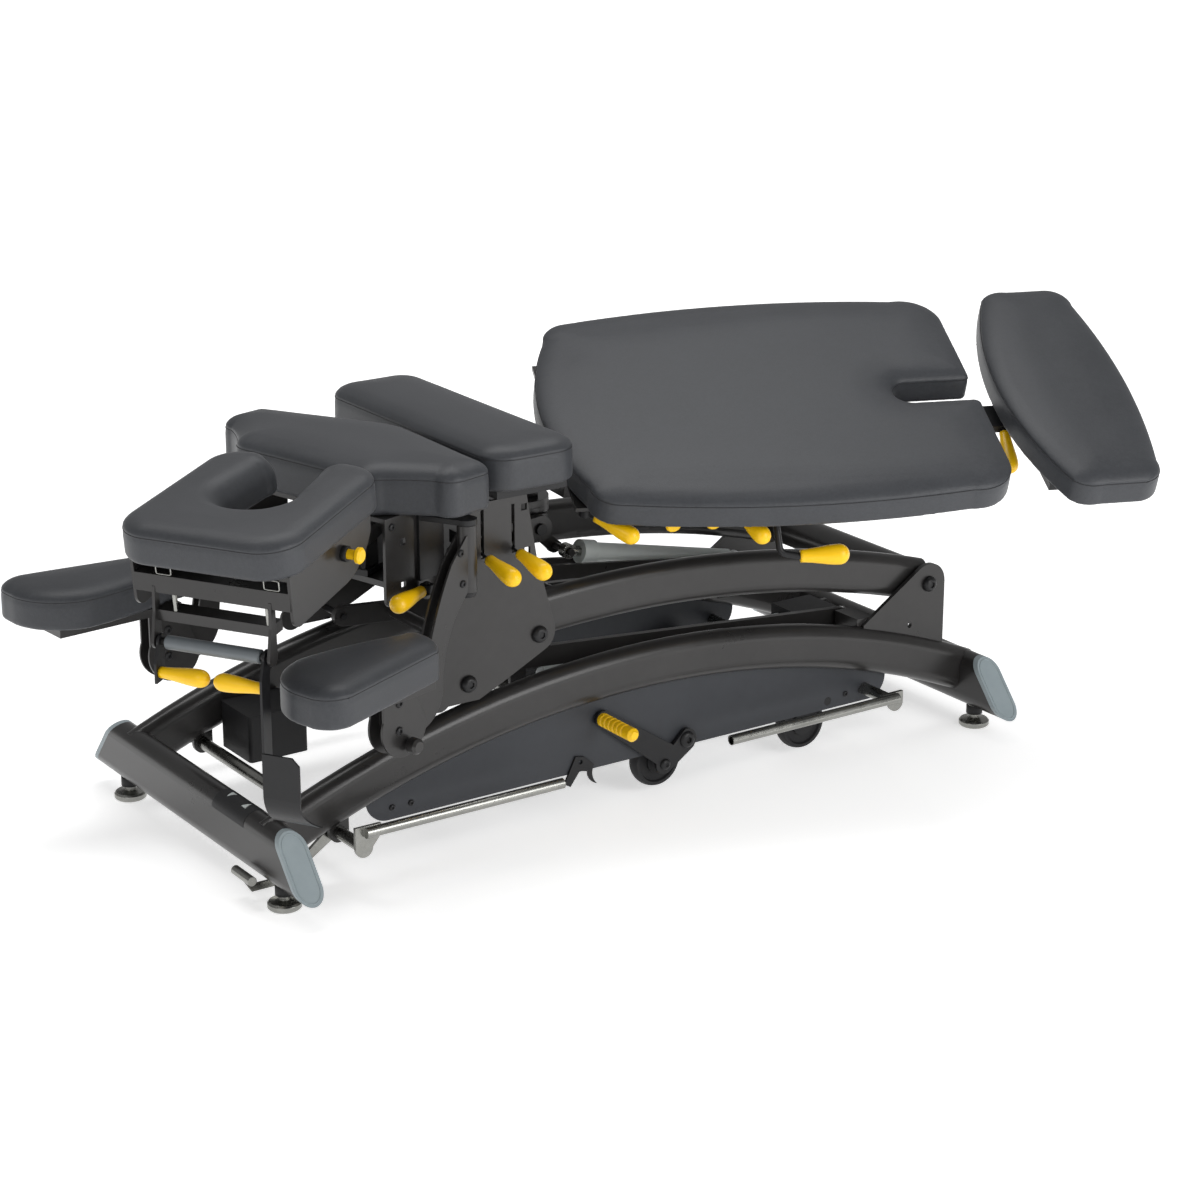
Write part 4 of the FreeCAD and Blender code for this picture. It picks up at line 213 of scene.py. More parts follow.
def make_grain_group():
    """Height and tone of leatherette: rounded cells between fine creases, over a softer roll."""
    group, taken, given = start_group("leather_grain", {"Scale": 420.0}, ["Height", "Tone"])
    where = object_coords(group)
    cells = group.nodes.new("ShaderNodeTexVoronoi")
    cells.feature = "SMOOTH_F1"
    group.links.new(where, cells.inputs["Vector"])
    group.links.new(taken.outputs["Scale"], cells.inputs["Scale"])
    cells.inputs["Smoothness"].default_value = 0.6
    fine = add_noise(group, where, add_math(group, "MULTIPLY", taken.outputs["Scale"], 2.2), 3)
    domes = add_math(group, "SUBTRACT", 1.0, cells.outputs["Distance"])
    height = add_math(group, "ADD", domes, add_math(group, "MULTIPLY", fine, 0.5))
    group.links.new(height, given.inputs["Height"])
    mottle = add_noise(group, where, add_math(group, "MULTIPLY", taken.outputs["Scale"], 0.3), 5, 0.7)
    group.links.new(mottle, given.inputs["Tone"])
    return group


cloudy_tone = make_cloud_group()
coat_peel = make_peel_group()
leather_grain = make_grain_group()
print("groups", cloudy_tone.name, coat_peel.name, leather_grain.name)

# %% [markdown]
# ## Materials
# Each finish starts from two tones of one colour, mixed by the cloudy tone. Roughness moves with it,
# and a bump gives the surface its fine relief. A rounded-edge normal lets the sharp edges of the plates
# catch the light, as sprayed steel does.

# %% Materials
def use_group(tree, group, **values):
    node = tree.nodes.new("ShaderNodeGroup")
    node.node_tree = group
    for label, value in values.items():
        node.inputs[label].default_value = value
    return node


TONE_LOW = 0.3
TONE_HIGH = 0.7


def remap(tree, value, low, high):
    """Value between TONE_LOW and TONE_HIGH, where noise mostly lies, moved to low..high."""
    node = tree.nodes.new("ShaderNodeMapRange")
    node.inputs["From Min"].default_value = TONE_LOW
    node.inputs["From Max"].default_value = TONE_HIGH
    node.inputs["To Min"].default_value = low
    node.inputs["To Max"].default_value = high
    tree.links.new(value, node.inputs["Value"])
    return node.outputs["Result"]


def mix_colours(tree, factor, dark, light):
    node = tree.nodes.new("ShaderNodeMix")
    node.data_type = "RGBA"
    tree.links.new(factor, node.inputs["Factor"])
    node.inputs["A"].default_value = (*dark, 1)
    node.inputs["B"].default_value = (*light, 1)
    return node.outputs["Result"]


def finish(name, dark, light, rough, metallic=0.0, relief=None, depth=0.0002, strength=0.2, edge=0.0012,
           tone_scale=6.0, coat=0.0, height_scale=700.0, sheen=0.0, specular=0.5):
    """Principled material: colour and roughness follow a cloudy tone, relief a bump, edges a rounded
    normal."""
    material = bpy.data.materials.new(name)
    material.use_nodes = True
    tree = material.node_tree
    shader = tree.nodes["Principled BSDF"]
    shader.inputs["Metallic"].default_value = metallic
    shader.inputs["Coat Weight"].default_value = coat
    shader.inputs["Coat Roughness"].default_value = 0.25
    shader.inputs["Sheen Weight"].default_value = sheen
    shader.inputs["Sheen Roughness"].default_value = 0.4
    shader.inputs["Specular IOR Level"].default_value = specular
    tone = use_group(tree, cloudy_tone, Scale=tone_scale).outputs["Tone"]
    height = None
    if relief is not None:
        grain = use_group(tree, relief, Scale=height_scale)
        height = grain.outputs["Height"]
        if "Tone" in grain.outputs:
            tone = add_math(tree, "ADD", add_math(tree, "MULTIPLY", tone, 0.5),
                            add_math(tree, "MULTIPLY", grain.outputs["Tone"], 0.5))
    tree.links.new(mix_colours(tree, remap(tree, tone, 0, 1), dark, light), shader.inputs["Base Color"])
    tree.links.new(remap(tree, tone, rough[0], rough[1]), shader.inputs["Roughness"])
    normal = None
    if edge:
        rounded = tree.nodes.new("ShaderNodeBevel")
        rounded.samples = 4
        rounded.inputs["Radius"].default_value = edge
        normal = rounded.outputs["Normal"]
    if height is not None:
        bump = tree.nodes.new("ShaderNodeBump")
        bump.inputs["Strength"].default_value = strength
        bump.inputs["Distance"].default_value = depth
        tree.links.new(height, bump.inputs["Height"])
        if normal is not None:
            tree.links.new(normal, bump.inputs["Normal"])
        normal = bump.outputs["Normal"]
    if normal is not None:
        tree.links.new(normal, shader.inputs["Normal"])
    return material


frame_coat = finish(
    "anthracite_coat", (0.020, 0.019, 0.0185), (0.028, 0.0265, 0.026), (0.26, 0.34), 0.2, coat_peel,
    strength=0.12, coat=0.2, specular=0.38)
skirt_coat = finish(
    "slate_coat", (0.026, 0.028, 0.033), (0.035, 0.038, 0.044), (0.42, 0.55), 0.1, coat_peel,
    specular=0.4)
black_steel = finish(
    "black_coated_steel", (0.007, 0.007, 0.008), (0.013, 0.013, 0.014), (0.30, 0.44), 0.1, coat_peel,
    specular=0.35)
bright_zinc = finish(
    "bright_zinc", (0.24, 0.24, 0.225), (0.34, 0.34, 0.32), (0.20, 0.32), 1.0, coat_peel,
    strength=0.06, tone_scale=14)
grey_tube = finish(
    "light_grey_tube", (0.50, 0.54, 0.53), (0.58, 0.62, 0.61), (0.30, 0.40), 0.0, coat_peel,
    coat=0.2, strength=0.1)
roller_grey = finish(
    "roller_sleeve_grey", (0.11, 0.125, 0.135), (0.14, 0.155, 0.165), (0.34, 0.46), 0.0, coat_peel,
    strength=0.15)
black_plastic = finish(
    "black_moulding", (0.008, 0.008, 0.009), (0.014, 0.014, 0.015), (0.42, 0.58), 0.0, coat_peel,
    strength=0.35, height_scale=1100, specular=0.35)
cap_plastic = finish(
    "grey_cap_moulding", (0.25, 0.30, 0.32), (0.30, 0.35, 0.37), (0.40, 0.52), 0.0, coat_peel,
    strength=0.25)
yellow_plastic = finish(
    "yellow_moulding", (0.88, 0.51, 0.001), (0.96, 0.58, 0.003), (0.30, 0.40), 0.0, coat_peel,
    strength=0.08, coat=0.1, specular=0.4)
tread_rubber = finish(
    "black_tread", (0.010, 0.010, 0.011), (0.018, 0.018, 0.019), (0.55, 0.7), 0.0, coat_peel,
    strength=0.4, specular=0.3)
leatherette = finish(
    "charcoal_leatherette", (0.029, 0.031, 0.0355), (0.048, 0.051, 0.057), (0.42, 0.52), 0.0, leather_grain,
    depth=0.0004, strength=0.35, edge=0, height_scale=650.0, tone_scale=9.0, sheen=0.06, specular=0.4)
# Dark seam line: painted shade of the seam's groove, darker than the cover.
seam_shade_line = finish(
    "painted_seam_shade", (0.014, 0.014, 0.016), (0.026, 0.026, 0.029), (0.6, 0.75), 0.0, coat_peel,
    edge=0)
print("materials", len(bpy.data.materials))

# %% [markdown]
# ## Finishes on the frame
# The record names a slot for each node. A table from slot to material dresses all nodes at once, and a
# few nodes that mix finishes are named after it.

# %% Frame finishes
SLOT_FINISH = {
    "frame_paint": frame_coat, "skirt_paint": skirt_coat, "dark_steel": black_steel,
    "zinc_steel": bright_zinc, "actuator_grey": grey_tube, "black_plastic": black_plastic,
    "cap_plastic": cap_plastic, "yellow_plastic": yellow_plastic, "upholstery": leatherette,
    "wheel_rubber": tread_rubber,
}
LEVERS_UNDER_GRIPS = ("drop_lever_front", "drop_lever_rear", "chest_lever", "leg_paddle", "leg_lock_lever")
for part in frame["record"]["subparts"]:
    coat = SLOT_FINISH[part["material_slot"]]
    if part["node"] in LEVERS_UNDER_GRIPS:
        coat = black_steel
    if part["node"] == "head_roller":
        coat = roller_grey
    nodes[part["node"]].data.materials.clear()
    nodes[part["node"]].data.materials.append(coat)

# %% [markdown]
# ## Section frames
# The chest, head and leg sections are turned on their pivots in the pictured posture. New pieces on
# them are easier to place in the section's own directions, so each section gets a placement that
# repeats the turns of its pivots.

# %% Section frames
def turn_z(degrees):
    return Matrix.Rotation(math.radians(degrees), 4, "Z")


def shift(x, y, z):
    return Matrix.Translation((x, y, z))


CHEST_YAW = 15
HEAD_YAW = 16.5
LEG_YAW = -21.9
FAR_REST_SWING = -10
CHEST = shift(-0.255, 0, 0) @ turn_z(CHEST_YAW)
HEAD = CHEST @ shift(-0.100, 0, 0) @ turn_z(HEAD_YAW)
LEG_TURN = Matrix.Rotation(math.radians(22.6), 4, "X")
LEG_ROLL = shift(-0.099, 0, 0) @ turn_z(LEG_YAW) @ shift(0, 0, 0.569) @ LEG_TURN
HEAD_HINGE = (-0.215, 0, 0.575)
HEAD_TILT = Matrix.Rotation(math.radians(-7), 4, "Y")
FACE = HEAD @ shift(*HEAD_HINGE) @ HEAD_TILT @ shift(*HEAD_HINGE).inverted()
REST_NEAR = CHEST @ shift(-0.205, -0.256, 0)
REST_FAR = CHEST @ shift(-0.205, 0.256, 0) @ turn_z(FAR_REST_SWING)
print("head section origin", [round(value, 3) for value in FACE.translation])

# %% [markdown]
# ## Cushions
# Each cushion is foam on a board, in a cover of a top panel and a side band, sewn together at seven
# tenths of its height. The seam is the one hard line; above it the cover rolls over into a crowned top.
# The shape starts as the frame's plain solid, remeshed evenly. Every point is then sent along a
# profile: how far it lies from the outline and how high it is decide where it goes on a rounded edge.
# Cloth under pressure swells the panels between the held seam and the board.

# %% Cushion outlines
MERGE_DISTANCE = 1e-5
FLAT_ANGLE = math.radians(0.5)
CLEAR_GAP = 0.004


def merged_form(mesh):
    """Editable copy of a mesh with doubled points merged."""
    form = bmesh.new()
    form.from_mesh(mesh)
    bmesh.ops.remove_doubles(form, verts=form.verts, dist=MERGE_DISTANCE)
    return form


def flat_form(node):
    """Editable copy of a node's mesh in which each flat face is in one piece."""
    form = merged_form(nodes[node].data)
    bmesh.ops.dissolve_limit(form, angle_limit=FLAT_ANGLE, verts=form.verts, edges=form.edges)
    return form


def outline_of(node):
    """Outline of the larger of a node's flat faces, top or bottom, its height, and the bottom plane's
    placement."""
    form = flat_form(node)
    top = max((face for face in form.faces if face.normal.z > 0.5), key=lambda face: face.calc_area())
    level = [face for face in form.faces if abs(face.normal.dot(top.normal)) > 0.99]
    corners = np.array([vertex.co for vertex in max(level, key=lambda face: face.calc_area()).verts])
    up = np.array(top.normal.normalized())
    heights = np.array([vertex.co for vertex in form.verts]) @ up
    form.free()
    height = np.ptp(heights)
    ahead = np.cross((0.0, 1.0, 0.0), up)
    ahead /= np.linalg.norm(ahead)
    axes = np.stack([ahead, np.cross(up, ahead), up], 1)
    place = np.eye(4)
    place[:3, :3] = axes
    place[:3, 3] = corners.mean(0)
    place[:3, 3] += up * (heights.min() - place[:3, 3] @ up)
    flat = ((corners - place[:3, 3]) @ axes)[:, :2]
    following = np.roll(flat, -1, 0)
    if np.sum(flat[:, 0] * following[:, 1] - flat[:, 1] * following[:, 0]) < 0:
        flat = flat[::-1]
    return flat, height, place


def nearest_on(outline, points):
    """For each point: the nearest point of the outline, the distance to it, and the way inwards from
    it."""
    run = np.roll(outline, -1, 0) - outline
    share = np.clip(((points[:, None] - outline) * run).sum(-1) / (run ** 2).sum(-1), 0, 1)
    foot = outline + share[..., None] * run
    gap = np.linalg.norm(points[:, None] - foot, axis=-1)
    pick = gap.argmin(1)
    every = np.arange(len(points))
    foot, gap = foot[every, pick], gap[every, pick]
    inward = np.stack([-run[:, 1], run[:, 0]], 1)
    inward = (inward / np.linalg.norm(inward, axis=1)[:, None])[pick]
    far = gap > CLEAR_GAP
    inward[far] = (points[far] - foot[far]) / gap[far, None]
    return foot, gap, inward


print("leg outline has", len(outline_of("leg_cushion")[0]), "points")

# %% [markdown]
# The profile is measured along the section: negative on the underside, rising up the side band to the
# seam, then over the top. A quarter ellipse carries the cover from the seam to the flat top, and a
# small quarter circle rounds the lower edge.

# %% Cushion shaping
def rounded_section(run, height, seam, roll, hem):
    """Section of a cushion: run is the way along it from the lower edge. Between seam and top the point
    follows a quarter ellipse of half axes roll and height - seam; near the lower edge a quarter circle
    of radius hem. Seam and roll are given for each point."""
    inset = np.zeros_like(run)
    level = np.clip(run, hem, seam)
    turn = np.clip((run - seam) / (height - seam + roll), 0, 1) * math.pi / 2
    over = run > seam
    inset[over] = (roll * (1 - np.cos(turn)))[over]
    level[over] = (seam + (height - seam) * np.sin(turn))[over]
    past = run > height + roll
    inset[past] = run[past] - height
    under = run < hem
    tuck = np.clip((hem - run) / (2 * hem), 0, 1) * math.pi / 2
    inset[under] = (hem * (1 - np.cos(tuck)))[under]
    level[under] = (hem * (1 - np.sin(tuck)))[under]
    deep = run < -hem
    inset[deep] = -run[deep]
    return inset, level


def even_mesh(node, voxel):
    """Copy of a node's mesh, merged and remeshed into even cells."""
    mesh = nodes[node].data.copy()
    form = merged_form(mesh)
    form.to_mesh(mesh)
    form.free()
    block = bpy.data.objects.new("block", mesh)
    bpy.context.scene.collection.objects.link(block)
    remesh = block.modifiers.new("even", "REMESH")
    remesh.mode = "VOXEL"
    remesh.voxel_size = voxel
    result = bpy.data.meshes.new_from_object(block.evaluated_get(bpy.context.evaluated_depsgraph_get()))
    bpy.data.objects.remove(block)
    return result


EASING_PASSES = 40
WAY_PASSES = 8
WAY_REACH = 0.012
CLOTH_FRAMES = 20


def read_points(mesh):
    flat = np.empty(len(mesh.vertices) * 3)
    mesh.vertices.foreach_get("co", flat)
    return flat.reshape(-1, 3)


def read_edges(mesh):
    flat = np.empty(len(mesh.edges) * 2, int)
    mesh.edges.foreach_get("vertices", flat)
    return flat.reshape(-1, 2)


def eased(move, edges, passes):
    """Each pass gives every point the mean of its own move and its neighbours' moves."""
    share = np.bincount(edges.ravel(), minlength=len(move))[:, None] + 1
    for _ in range(passes):
        total = move.copy()
        np.add.at(total, edges[:, 0], move[edges[:, 1]])
        np.add.at(total, edges[:, 1], move[edges[:, 0]])
        move = total / share
    return move


def swell(piece, held, pressure, cap):
    """Cloth under pressure for CLOTH_FRAMES frames, held points pinned. The moves are evened out,
    because the cover is taut and shows no creases, and no point moves further than the cap."""
    start = read_points(piece.data)
    pins = piece.vertex_groups.new(name="held")
    pins.add(np.flatnonzero(held).tolist(), 1.0, "REPLACE")
    cloth = piece.modifiers.new("pressure", "CLOTH")
    cloth.settings.use_pressure = True
    cloth.settings.uniform_pressure_force = pressure
    cloth.settings.effector_weights.gravity = 0
    cloth.settings.vertex_group_mass = "held"
    cloth.settings.bending_stiffness = 2.0
    cloth.collision_settings.use_collision = False
    scene = bpy.context.scene
    for number in range(1, CLOTH_FRAMES + 1):
        scene.frame_set(number)
    moved_mesh = bpy.data.meshes.new_from_object(piece.evaluated_get(bpy.context.evaluated_depsgraph_get()))
    move = read_points(moved_mesh) - start
    bpy.data.meshes.remove(moved_mesh)
    piece.modifiers.remove(cloth)
    piece.vertex_groups.remove(pins)
    scene.frame_set(1)
    length = np.linalg.norm(move, axis=1)
    move *= np.minimum(1, cap / np.maximum(length, 1e-9))[:, None]
    move = eased(move, read_edges(piece.data), EASING_PASSES)
    piece.data.vertices.foreach_set("co", (start + move).ravel())
    return float(np.linalg.norm(move, axis=1).max())


print("cushion helpers ready")

# %% [markdown]
# The seam is drawn twice: the cover is pinched in along it, and a dark line lies in the pinch, painted shade
# of the seam's groove. The line is a small circle carried round the outline.

# %% Cushion maker
SIDE_INSET = 0.0025
INSET_FADE = 0.04
HEM = 0.008
PINCH_DEPTH = 0.0016
PINCH_WIDTH = 0.0042
# Radius, spacing and sink of the dark seam line, which is painted shade of the groove.
SEAM_LINE = 0.0007
SEAM_LINE_STEP = 0.004
SEAM_LINE_SINK = 0.7
LINE_SIDES = 8
SEAM_REACH = 0.6
PRESSURE = 4.0
SWELL_CAP = 0.0025
SEAM_SHARE = 0.70
SOFT_SEAM_SHARE = 0.30
SOFT_ROLL = 0.042
SOFT_FADE = 0.03
CROWN_REACH = 0.09


def even_outline_path(outline, step):
    """Even points round an outline, and the way inwards at each."""
    loop = np.concatenate([outline, outline[:1]])
    reach = np.concatenate([[0], np.cumsum(np.linalg.norm(np.diff(loop, axis=0), axis=1))])
    where = np.arange(0, reach[-1], step)
    points = np.stack([np.interp(where, reach, loop[:, axis]) for axis in (0, 1)], 1)
    ahead = np.roll(points, -1, 0) - np.roll(points, 1, 0)
    ahead /= np.linalg.norm(ahead, axis=1)[:, None]
    return points, np.stack([-ahead[:, 1], ahead[:, 0]], 1)


def seam_round(node, outline, seam, seamless, place, body):
    """Dark line in the pinch, painted shade of the seam's groove: a small circle carried along the outline,
    left out where there is no seam."""
    path, inwards = even_outline_path(outline, SEAM_LINE_STEP)
    sewn = seamless(path) < 0.5
    centre = path + inwards * (SIDE_INSET + PINCH_DEPTH * SEAM_LINE_SINK)
    if not sewn.all():
        first = np.flatnonzero(sewn & ~np.roll(sewn, 1))[0]
        order = np.roll(np.arange(len(path)), -first)
        order = order[sewn[order]]
        centre, inwards = centre[order], inwards[order]
    angle = circle(LINE_SIDES)
    spread = centre[:, None] + inwards[:, None] * (SEAM_LINE * np.cos(angle))[:, None]
    level = np.broadcast_to(seam + SEAM_LINE * np.sin(angle), spread.shape[:2])
    grid = placed(np.concatenate([spread, level[..., None]], -1), place)
    dress(surface(node + "_seam", grid, closed_path=bool(sewn.all())), seam_shade_line, body)


def make_cushion(node, body, roll, crown, voxel, opening=None):
    """Upholstered cushion for one node: shaped section, swollen panels, pinched seam and a dark line of
    painted seam shade in it. An opening, given in its section's frame, has a wide soft edge and no seam."""
    outline, height, place = outline_of(node)

    def seamless(flat):
        """Share of the opening's soft edge at points of the outline's plane: 1 inside the opening,
        fading to 0."""
        if opening is None:
            return np.zeros(len(flat))
        section, half, front = opening
        world = placed(np.concatenate([flat, np.zeros((len(flat), 1))], 1), place)
        own_frame = placed(world, section.inverted())
        beside = np.clip((half - np.abs(own_frame[:, 1])) / SOFT_FADE, 0, 1)
        return beside * np.clip((own_frame[:, 0] - front) / SOFT_FADE, 0, 1)

    mesh = even_mesh(node, voxel)
    own = (read_points(mesh) - place[:3, 3]) @ place[:3, :3]
    foot, gap, inward = nearest_on(outline, own[:, :2])
    near_edge = np.clip(2 - gap / WAY_REACH, 0, 1)[:, None]
    inward = inward + (eased(inward, read_edges(mesh), WAY_PASSES) - inward) * near_edge
    inward /= np.linalg.norm(inward, axis=1)[:, None]
    shoulder = height - crown
    level = own[:, 2] * shoulder / height
    run = np.where(shoulder - level < gap, shoulder + gap, np.where(level < gap, -gap, level))
    run = np.where((run > shoulder) & (level < shoulder / 2), -gap, run)
    soft = seamless(foot)
    seam = height * (SEAM_SHARE + (SOFT_SEAM_SHARE - SEAM_SHARE) * soft)
    inset, rise = rounded_section(run, shoulder, seam, roll + (SOFT_ROLL - roll) * soft, HEM)
    rise = rise + np.where(run > seam, crown * (1 - (1 - np.clip(inset / CROWN_REACH, 0, 1)) ** 2), 0)
    flat = foot + inward * (inset + SIDE_INSET * np.clip(1 - inset / INSET_FADE, 0, 1))[:, None]
    mesh.vertices.foreach_set("co", placed(np.concatenate([flat, rise[:, None]], 1), place).ravel())
    mesh.name = node + "_cover"
    piece = bpy.data.objects.new(node + "_cover", mesh)
    bpy.context.scene.collection.objects.link(piece)
    on_seam = (np.abs(run - seam) < voxel * SEAM_REACH) & (soft < 0.5)
    moved = 0.0
    moved = swell(piece, on_seam | (run < HEM), PRESSURE, SWELL_CAP)
    pinch = PINCH_DEPTH * np.exp(-((run - seam) / PINCH_WIDTH) ** 2) * (1 - soft)
    across = np.concatenate([inward, np.zeros((len(inward), 1))], 1) @ place[:3, :3].T
    mesh.vertices.foreach_set("co", (read_points(mesh) + across * pinch[:, None]).ravel())
    mesh.polygons.foreach_set("use_smooth", np.ones(len(mesh.polygons), bool))
    mesh.update()
    smooth = piece.modifiers.new("smooth", "SUBSURF")
    smooth.levels = smooth.render_levels = 1
    dress(piece, leatherette, body)
    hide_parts(node)
    # Dark line in the seam's pinch: painted shade of the groove.
    seam_round(node, outline, height * SEAM_SHARE, seamless, place, body)
    print(node, len(mesh.vertices), "points, height", round(height * 1000), "mm, swelled",
          round(moved * 1000, 1), "mm")


# %% Cushions
make_cushion("leg_cushion", "leg", roll=0.036, crown=0.006, voxel=0.0062)
make_cushion("foot_cushion", "foot", roll=0.030, crown=0.005, voxel=0.0055)
make_cushion("belly_cushion", "carrier", roll=0.034, crown=0.006, voxel=0.0055)
make_cushion("chest_cushion", "chest", roll=0.034, crown=0.006, voxel=0.0055)
make_cushion("head_cushion", "head", roll=0.032, crown=0.004, voxel=0.0055, opening=(FACE, 0.085, -0.510))
make_cushion("rest_cushion_near", "rest_near", roll=0.032, crown=0.006, voxel=0.0055)
make_cushion("rest_cushion_far", "rest_far", roll=0.032, crown=0.006, voxel=0.0055)

# %% [markdown]
# ## Yellow grips
# The hand levers end in soft yellow grips, narrow at the neck and widest near the end. Each is a profile
# of widths along its axis, turned all round and slipped over the frame's plain grip.

# %% Grips
GRIP_LENGTH = 0.078
GRIP_RADIUS = 0.013
NECK_SHARE = 0.74
BELLY_SHARE = 0.44
NOSE_SPARE = 0.006
NOSE_SHARE = 0.2
SHANK_SHARE = 1 - NOSE_SHARE
SHANK_STEPS = 14
NOSE_STEPS = 9
TIP_SHARE = 0.02
NECK_LAP = 0.0005
GRIP_SIDES = 28


def grip(name, body, place, length=GRIP_LENGTH, radius=GRIP_RADIUS):
    """Turned grip: its radius grows from the neck as a raised cosine and closes with a round nose."""
    nose_way = np.sin(np.linspace(0.1, 1, NOSE_STEPS) * math.pi / 2)
    share = np.concatenate([np.linspace(0, SHANK_SHARE, SHANK_STEPS), SHANK_SHARE + NOSE_SHARE * nose_way])
    belly = NECK_SHARE + BELLY_SHARE * (1 - np.cos(np.clip(share / SHANK_SHARE, 0, 1) * math.pi)) / 2
    nose = np.sqrt(np.clip(1 - (np.clip(share - SHANK_SHARE, 0, 1) / NOSE_SHARE) ** 2, 0, 1))
    width = radius * belly * np.maximum(nose, TIP_SHARE)
    angle = circle(GRIP_SIDES)
    x = width[:, None] * np.cos(angle)
    y = width[:, None] * np.sin(angle)
    z = np.broadcast_to((share * (length + NOSE_SPARE) - NECK_LAP)[:, None], x.shape)
    piece = surface(name, placed(np.stack([x, y, z], -1), place))
    dress(piece, yellow_plastic, body)


DROP_PIVOT_Y = -0.180
DROP_PIVOT_Z = 0.525
DROP_DROOP = math.radians(10)
DROP_WAY = Vector((0, -math.cos(DROP_DROOP), -math.sin(DROP_DROOP)))
DROP_SHANK = 0.096
for label, slot_x in (("drop_lever_front", -0.328), ("drop_lever_rear", -0.269)):
    start = Vector((slot_x, DROP_PIVOT_Y, DROP_PIVOT_Z)) + DROP_WAY * DROP_SHANK
    grip(label + "_grip", label, along(start, DROP_WAY))


def lever_grip(body, carrier, hub, way, reach, **shape):
    """Grip of a hubbed lever: it starts a reach away from the hub, along the lever's way, in its
    carrier's frame."""
    way = Vector(way).normalized()
    grip(body + "_grip", body, carrier @ along(Vector(hub) + way * reach, way), **shape)


lever_grip("chest_lever", CHEST, (-0.240, -0.199, 0.475), (-0.97, -0.22, -0.02), 0.017)
lever_grip("leg_paddle", LEG_ROLL, (0.080, -0.190, 0.0424), (0.75, -0.66, -0.12), 0.021)
lever_grip("leg_lock_lever", LEG_ROLL, (0.330, -0.190, 0.0424), (0.42, -0.90, -0.12), 0.021)
lever_grip("leg_handle", LEG_ROLL, (0.436, -0.283, -0.0082), (1, -0.1, 0.06), 0.0, radius=0.015)
for label, side in (("head_handle_near", -1), ("head_handle_far", 1)):
    lever_grip(label, FACE, (-0.6175, 0.092 * side, 0.481), (0, -side, 0), 0.002, length=0.080,
               radius=0.012)
grip("foot_slide_grip", "foot", LEG_ROLL @ along((0.869, -0.036, 0.0317), (-0.1, -0.95, -0.3)))
print("yellow grips slipped on")

# %% [markdown]
# ## Fasteners
# The plates are held by black button-head screws with a hexagon socket. Each is a grid of rings: a dome
# of shrinking circles, then the socket's six-sided ring at the top and again at its floor. Small
# details like these tell the eye how big the table is.

# %% Screws
SCREW_RINGS = ((1.0, -0.05), (1.0, 0.25), (0.93, 0.55), (0.78, 0.85), (0.60, 1.0))
SOCKET_SHARE = 0.36
SOCKET_FLOOR = 0.35
SCREW_SIDES = 36


def socket_screw(name, body, place, radius, height):
    """Button-head screw along +Z of a place: circles of given shares of radius and height, then a
    hexagon whose radius at an angle is its flat distance over the cosine of the angle to the nearest
    flat's middle."""
    angle = circle(SCREW_SIDES)
    dome = np.array(SCREW_RINGS)
    hexagon = SOCKET_SHARE / np.cos(np.mod(angle, math.pi / 3) - math.pi / 6)
    shares = np.concatenate([np.repeat(dome[:, :1], len(angle), 1), hexagon[None], hexagon[None]])
    levels = np.concatenate([dome[:, 1], [1.0, SOCKET_FLOOR]]) * height
    x = radius * shares * np.cos(angle)
    y = radius * shares * np.sin(angle)
    z = np.broadcast_to(levels[:, None], x.shape)
    piece = surface(name, placed(np.stack([x, y, z], -1), place), crisp=40)
    dress(piece, black_steel, body)


def screw_pair(name, body, section, x, face, z, radius, height):
    """The same screw on the near and far faces of a section, pointing outwards."""
    for label, side in (("near", -1), ("far", 1)):
        place = section @ along((x, face * side, z), (0, side, 0))
        socket_screw(name + "_" + label, body, place, radius, height)


WORLD = Matrix.Identity(4)
PIVOT_SCREW = {"radius": 0.0146, "height": 0.0105}
PLATE_SCREW = {"radius": 0.0065, "height": 0.0032}
CARRIER_FACE = 0.253
BRACKET_FACE = 0.248
TOWER_FACE = 0.183
LEVER_FACE = 0.2445
SKIRT_FACE = 0.2335
screw_pair("carrier_screw_upper", "carrier", WORLD, -0.220, CARRIER_FACE, 0.355, **PIVOT_SCREW)
screw_pair("carrier_screw_lower", "carrier", WORLD, -0.359, CARRIER_FACE, 0.296, **PIVOT_SCREW)
screw_pair("lift_screw", "base", WORLD, 0.630, BRACKET_FACE, 0.284, **PIVOT_SCREW)
screw_pair("wheel_pivot_screw", "wheel_lever", WORLD, 0.092, LEVER_FACE, 0.097, radius=0.0150, height=0.0060)
screw_pair("wheel_axle_screw", "wheel_lever", WORLD, 0.045, LEVER_FACE, 0.061, radius=0.0100, height=0.0055)
for number, (x, z) in enumerate(((-0.300, 0.588), (-0.218, 0.571), (-0.220, 0.498))):
    screw_pair("tower_screw_%d" % number, "chest", CHEST, x, TOWER_FACE, z, **PLATE_SCREW)
for number, x in enumerate((-0.497, -0.461, 0.453, 0.488)):
    screw_pair("skirt_screw_%d" % number, "base", WORLD, x, SKIRT_FACE, 0.103, radius=0.0055, height=0.0030)
REST_ARM_FACE = 0.012
REST_CHEEK_FACE = 0.0163
for label, section in (("near", REST_NEAR), ("far", REST_FAR)):
    for number, (x, z) in enumerate(((-0.027, 0.546), (-0.023, 0.494))):
        name = "rest_%s_arm_screw_%d" % (label, number)
        screw_pair(name, "rest_arm_" + label, section, x, REST_ARM_FACE, z, **PLATE_SCREW)
    for number, (x, z) in enumerate(((-0.177, 0.336), (-0.178, 0.290))):
        name = "rest_%s_cheek_screw_%d" % (label, number)
        screw_pair(name, "rest_" + label, section, x, REST_CHEEK_FACE, z, radius=0.0075, height=0.0036)

# %% [markdown]
# ## Sleeves and collars
# The bright levelling feet screw into black sleeves under the cross tubes, and each pull knob slides
# in a black collar. Both are rings: a small closed section carried round an axis.

# %% Rings
RING_CUT = 0.2
RING_SIDES = 40


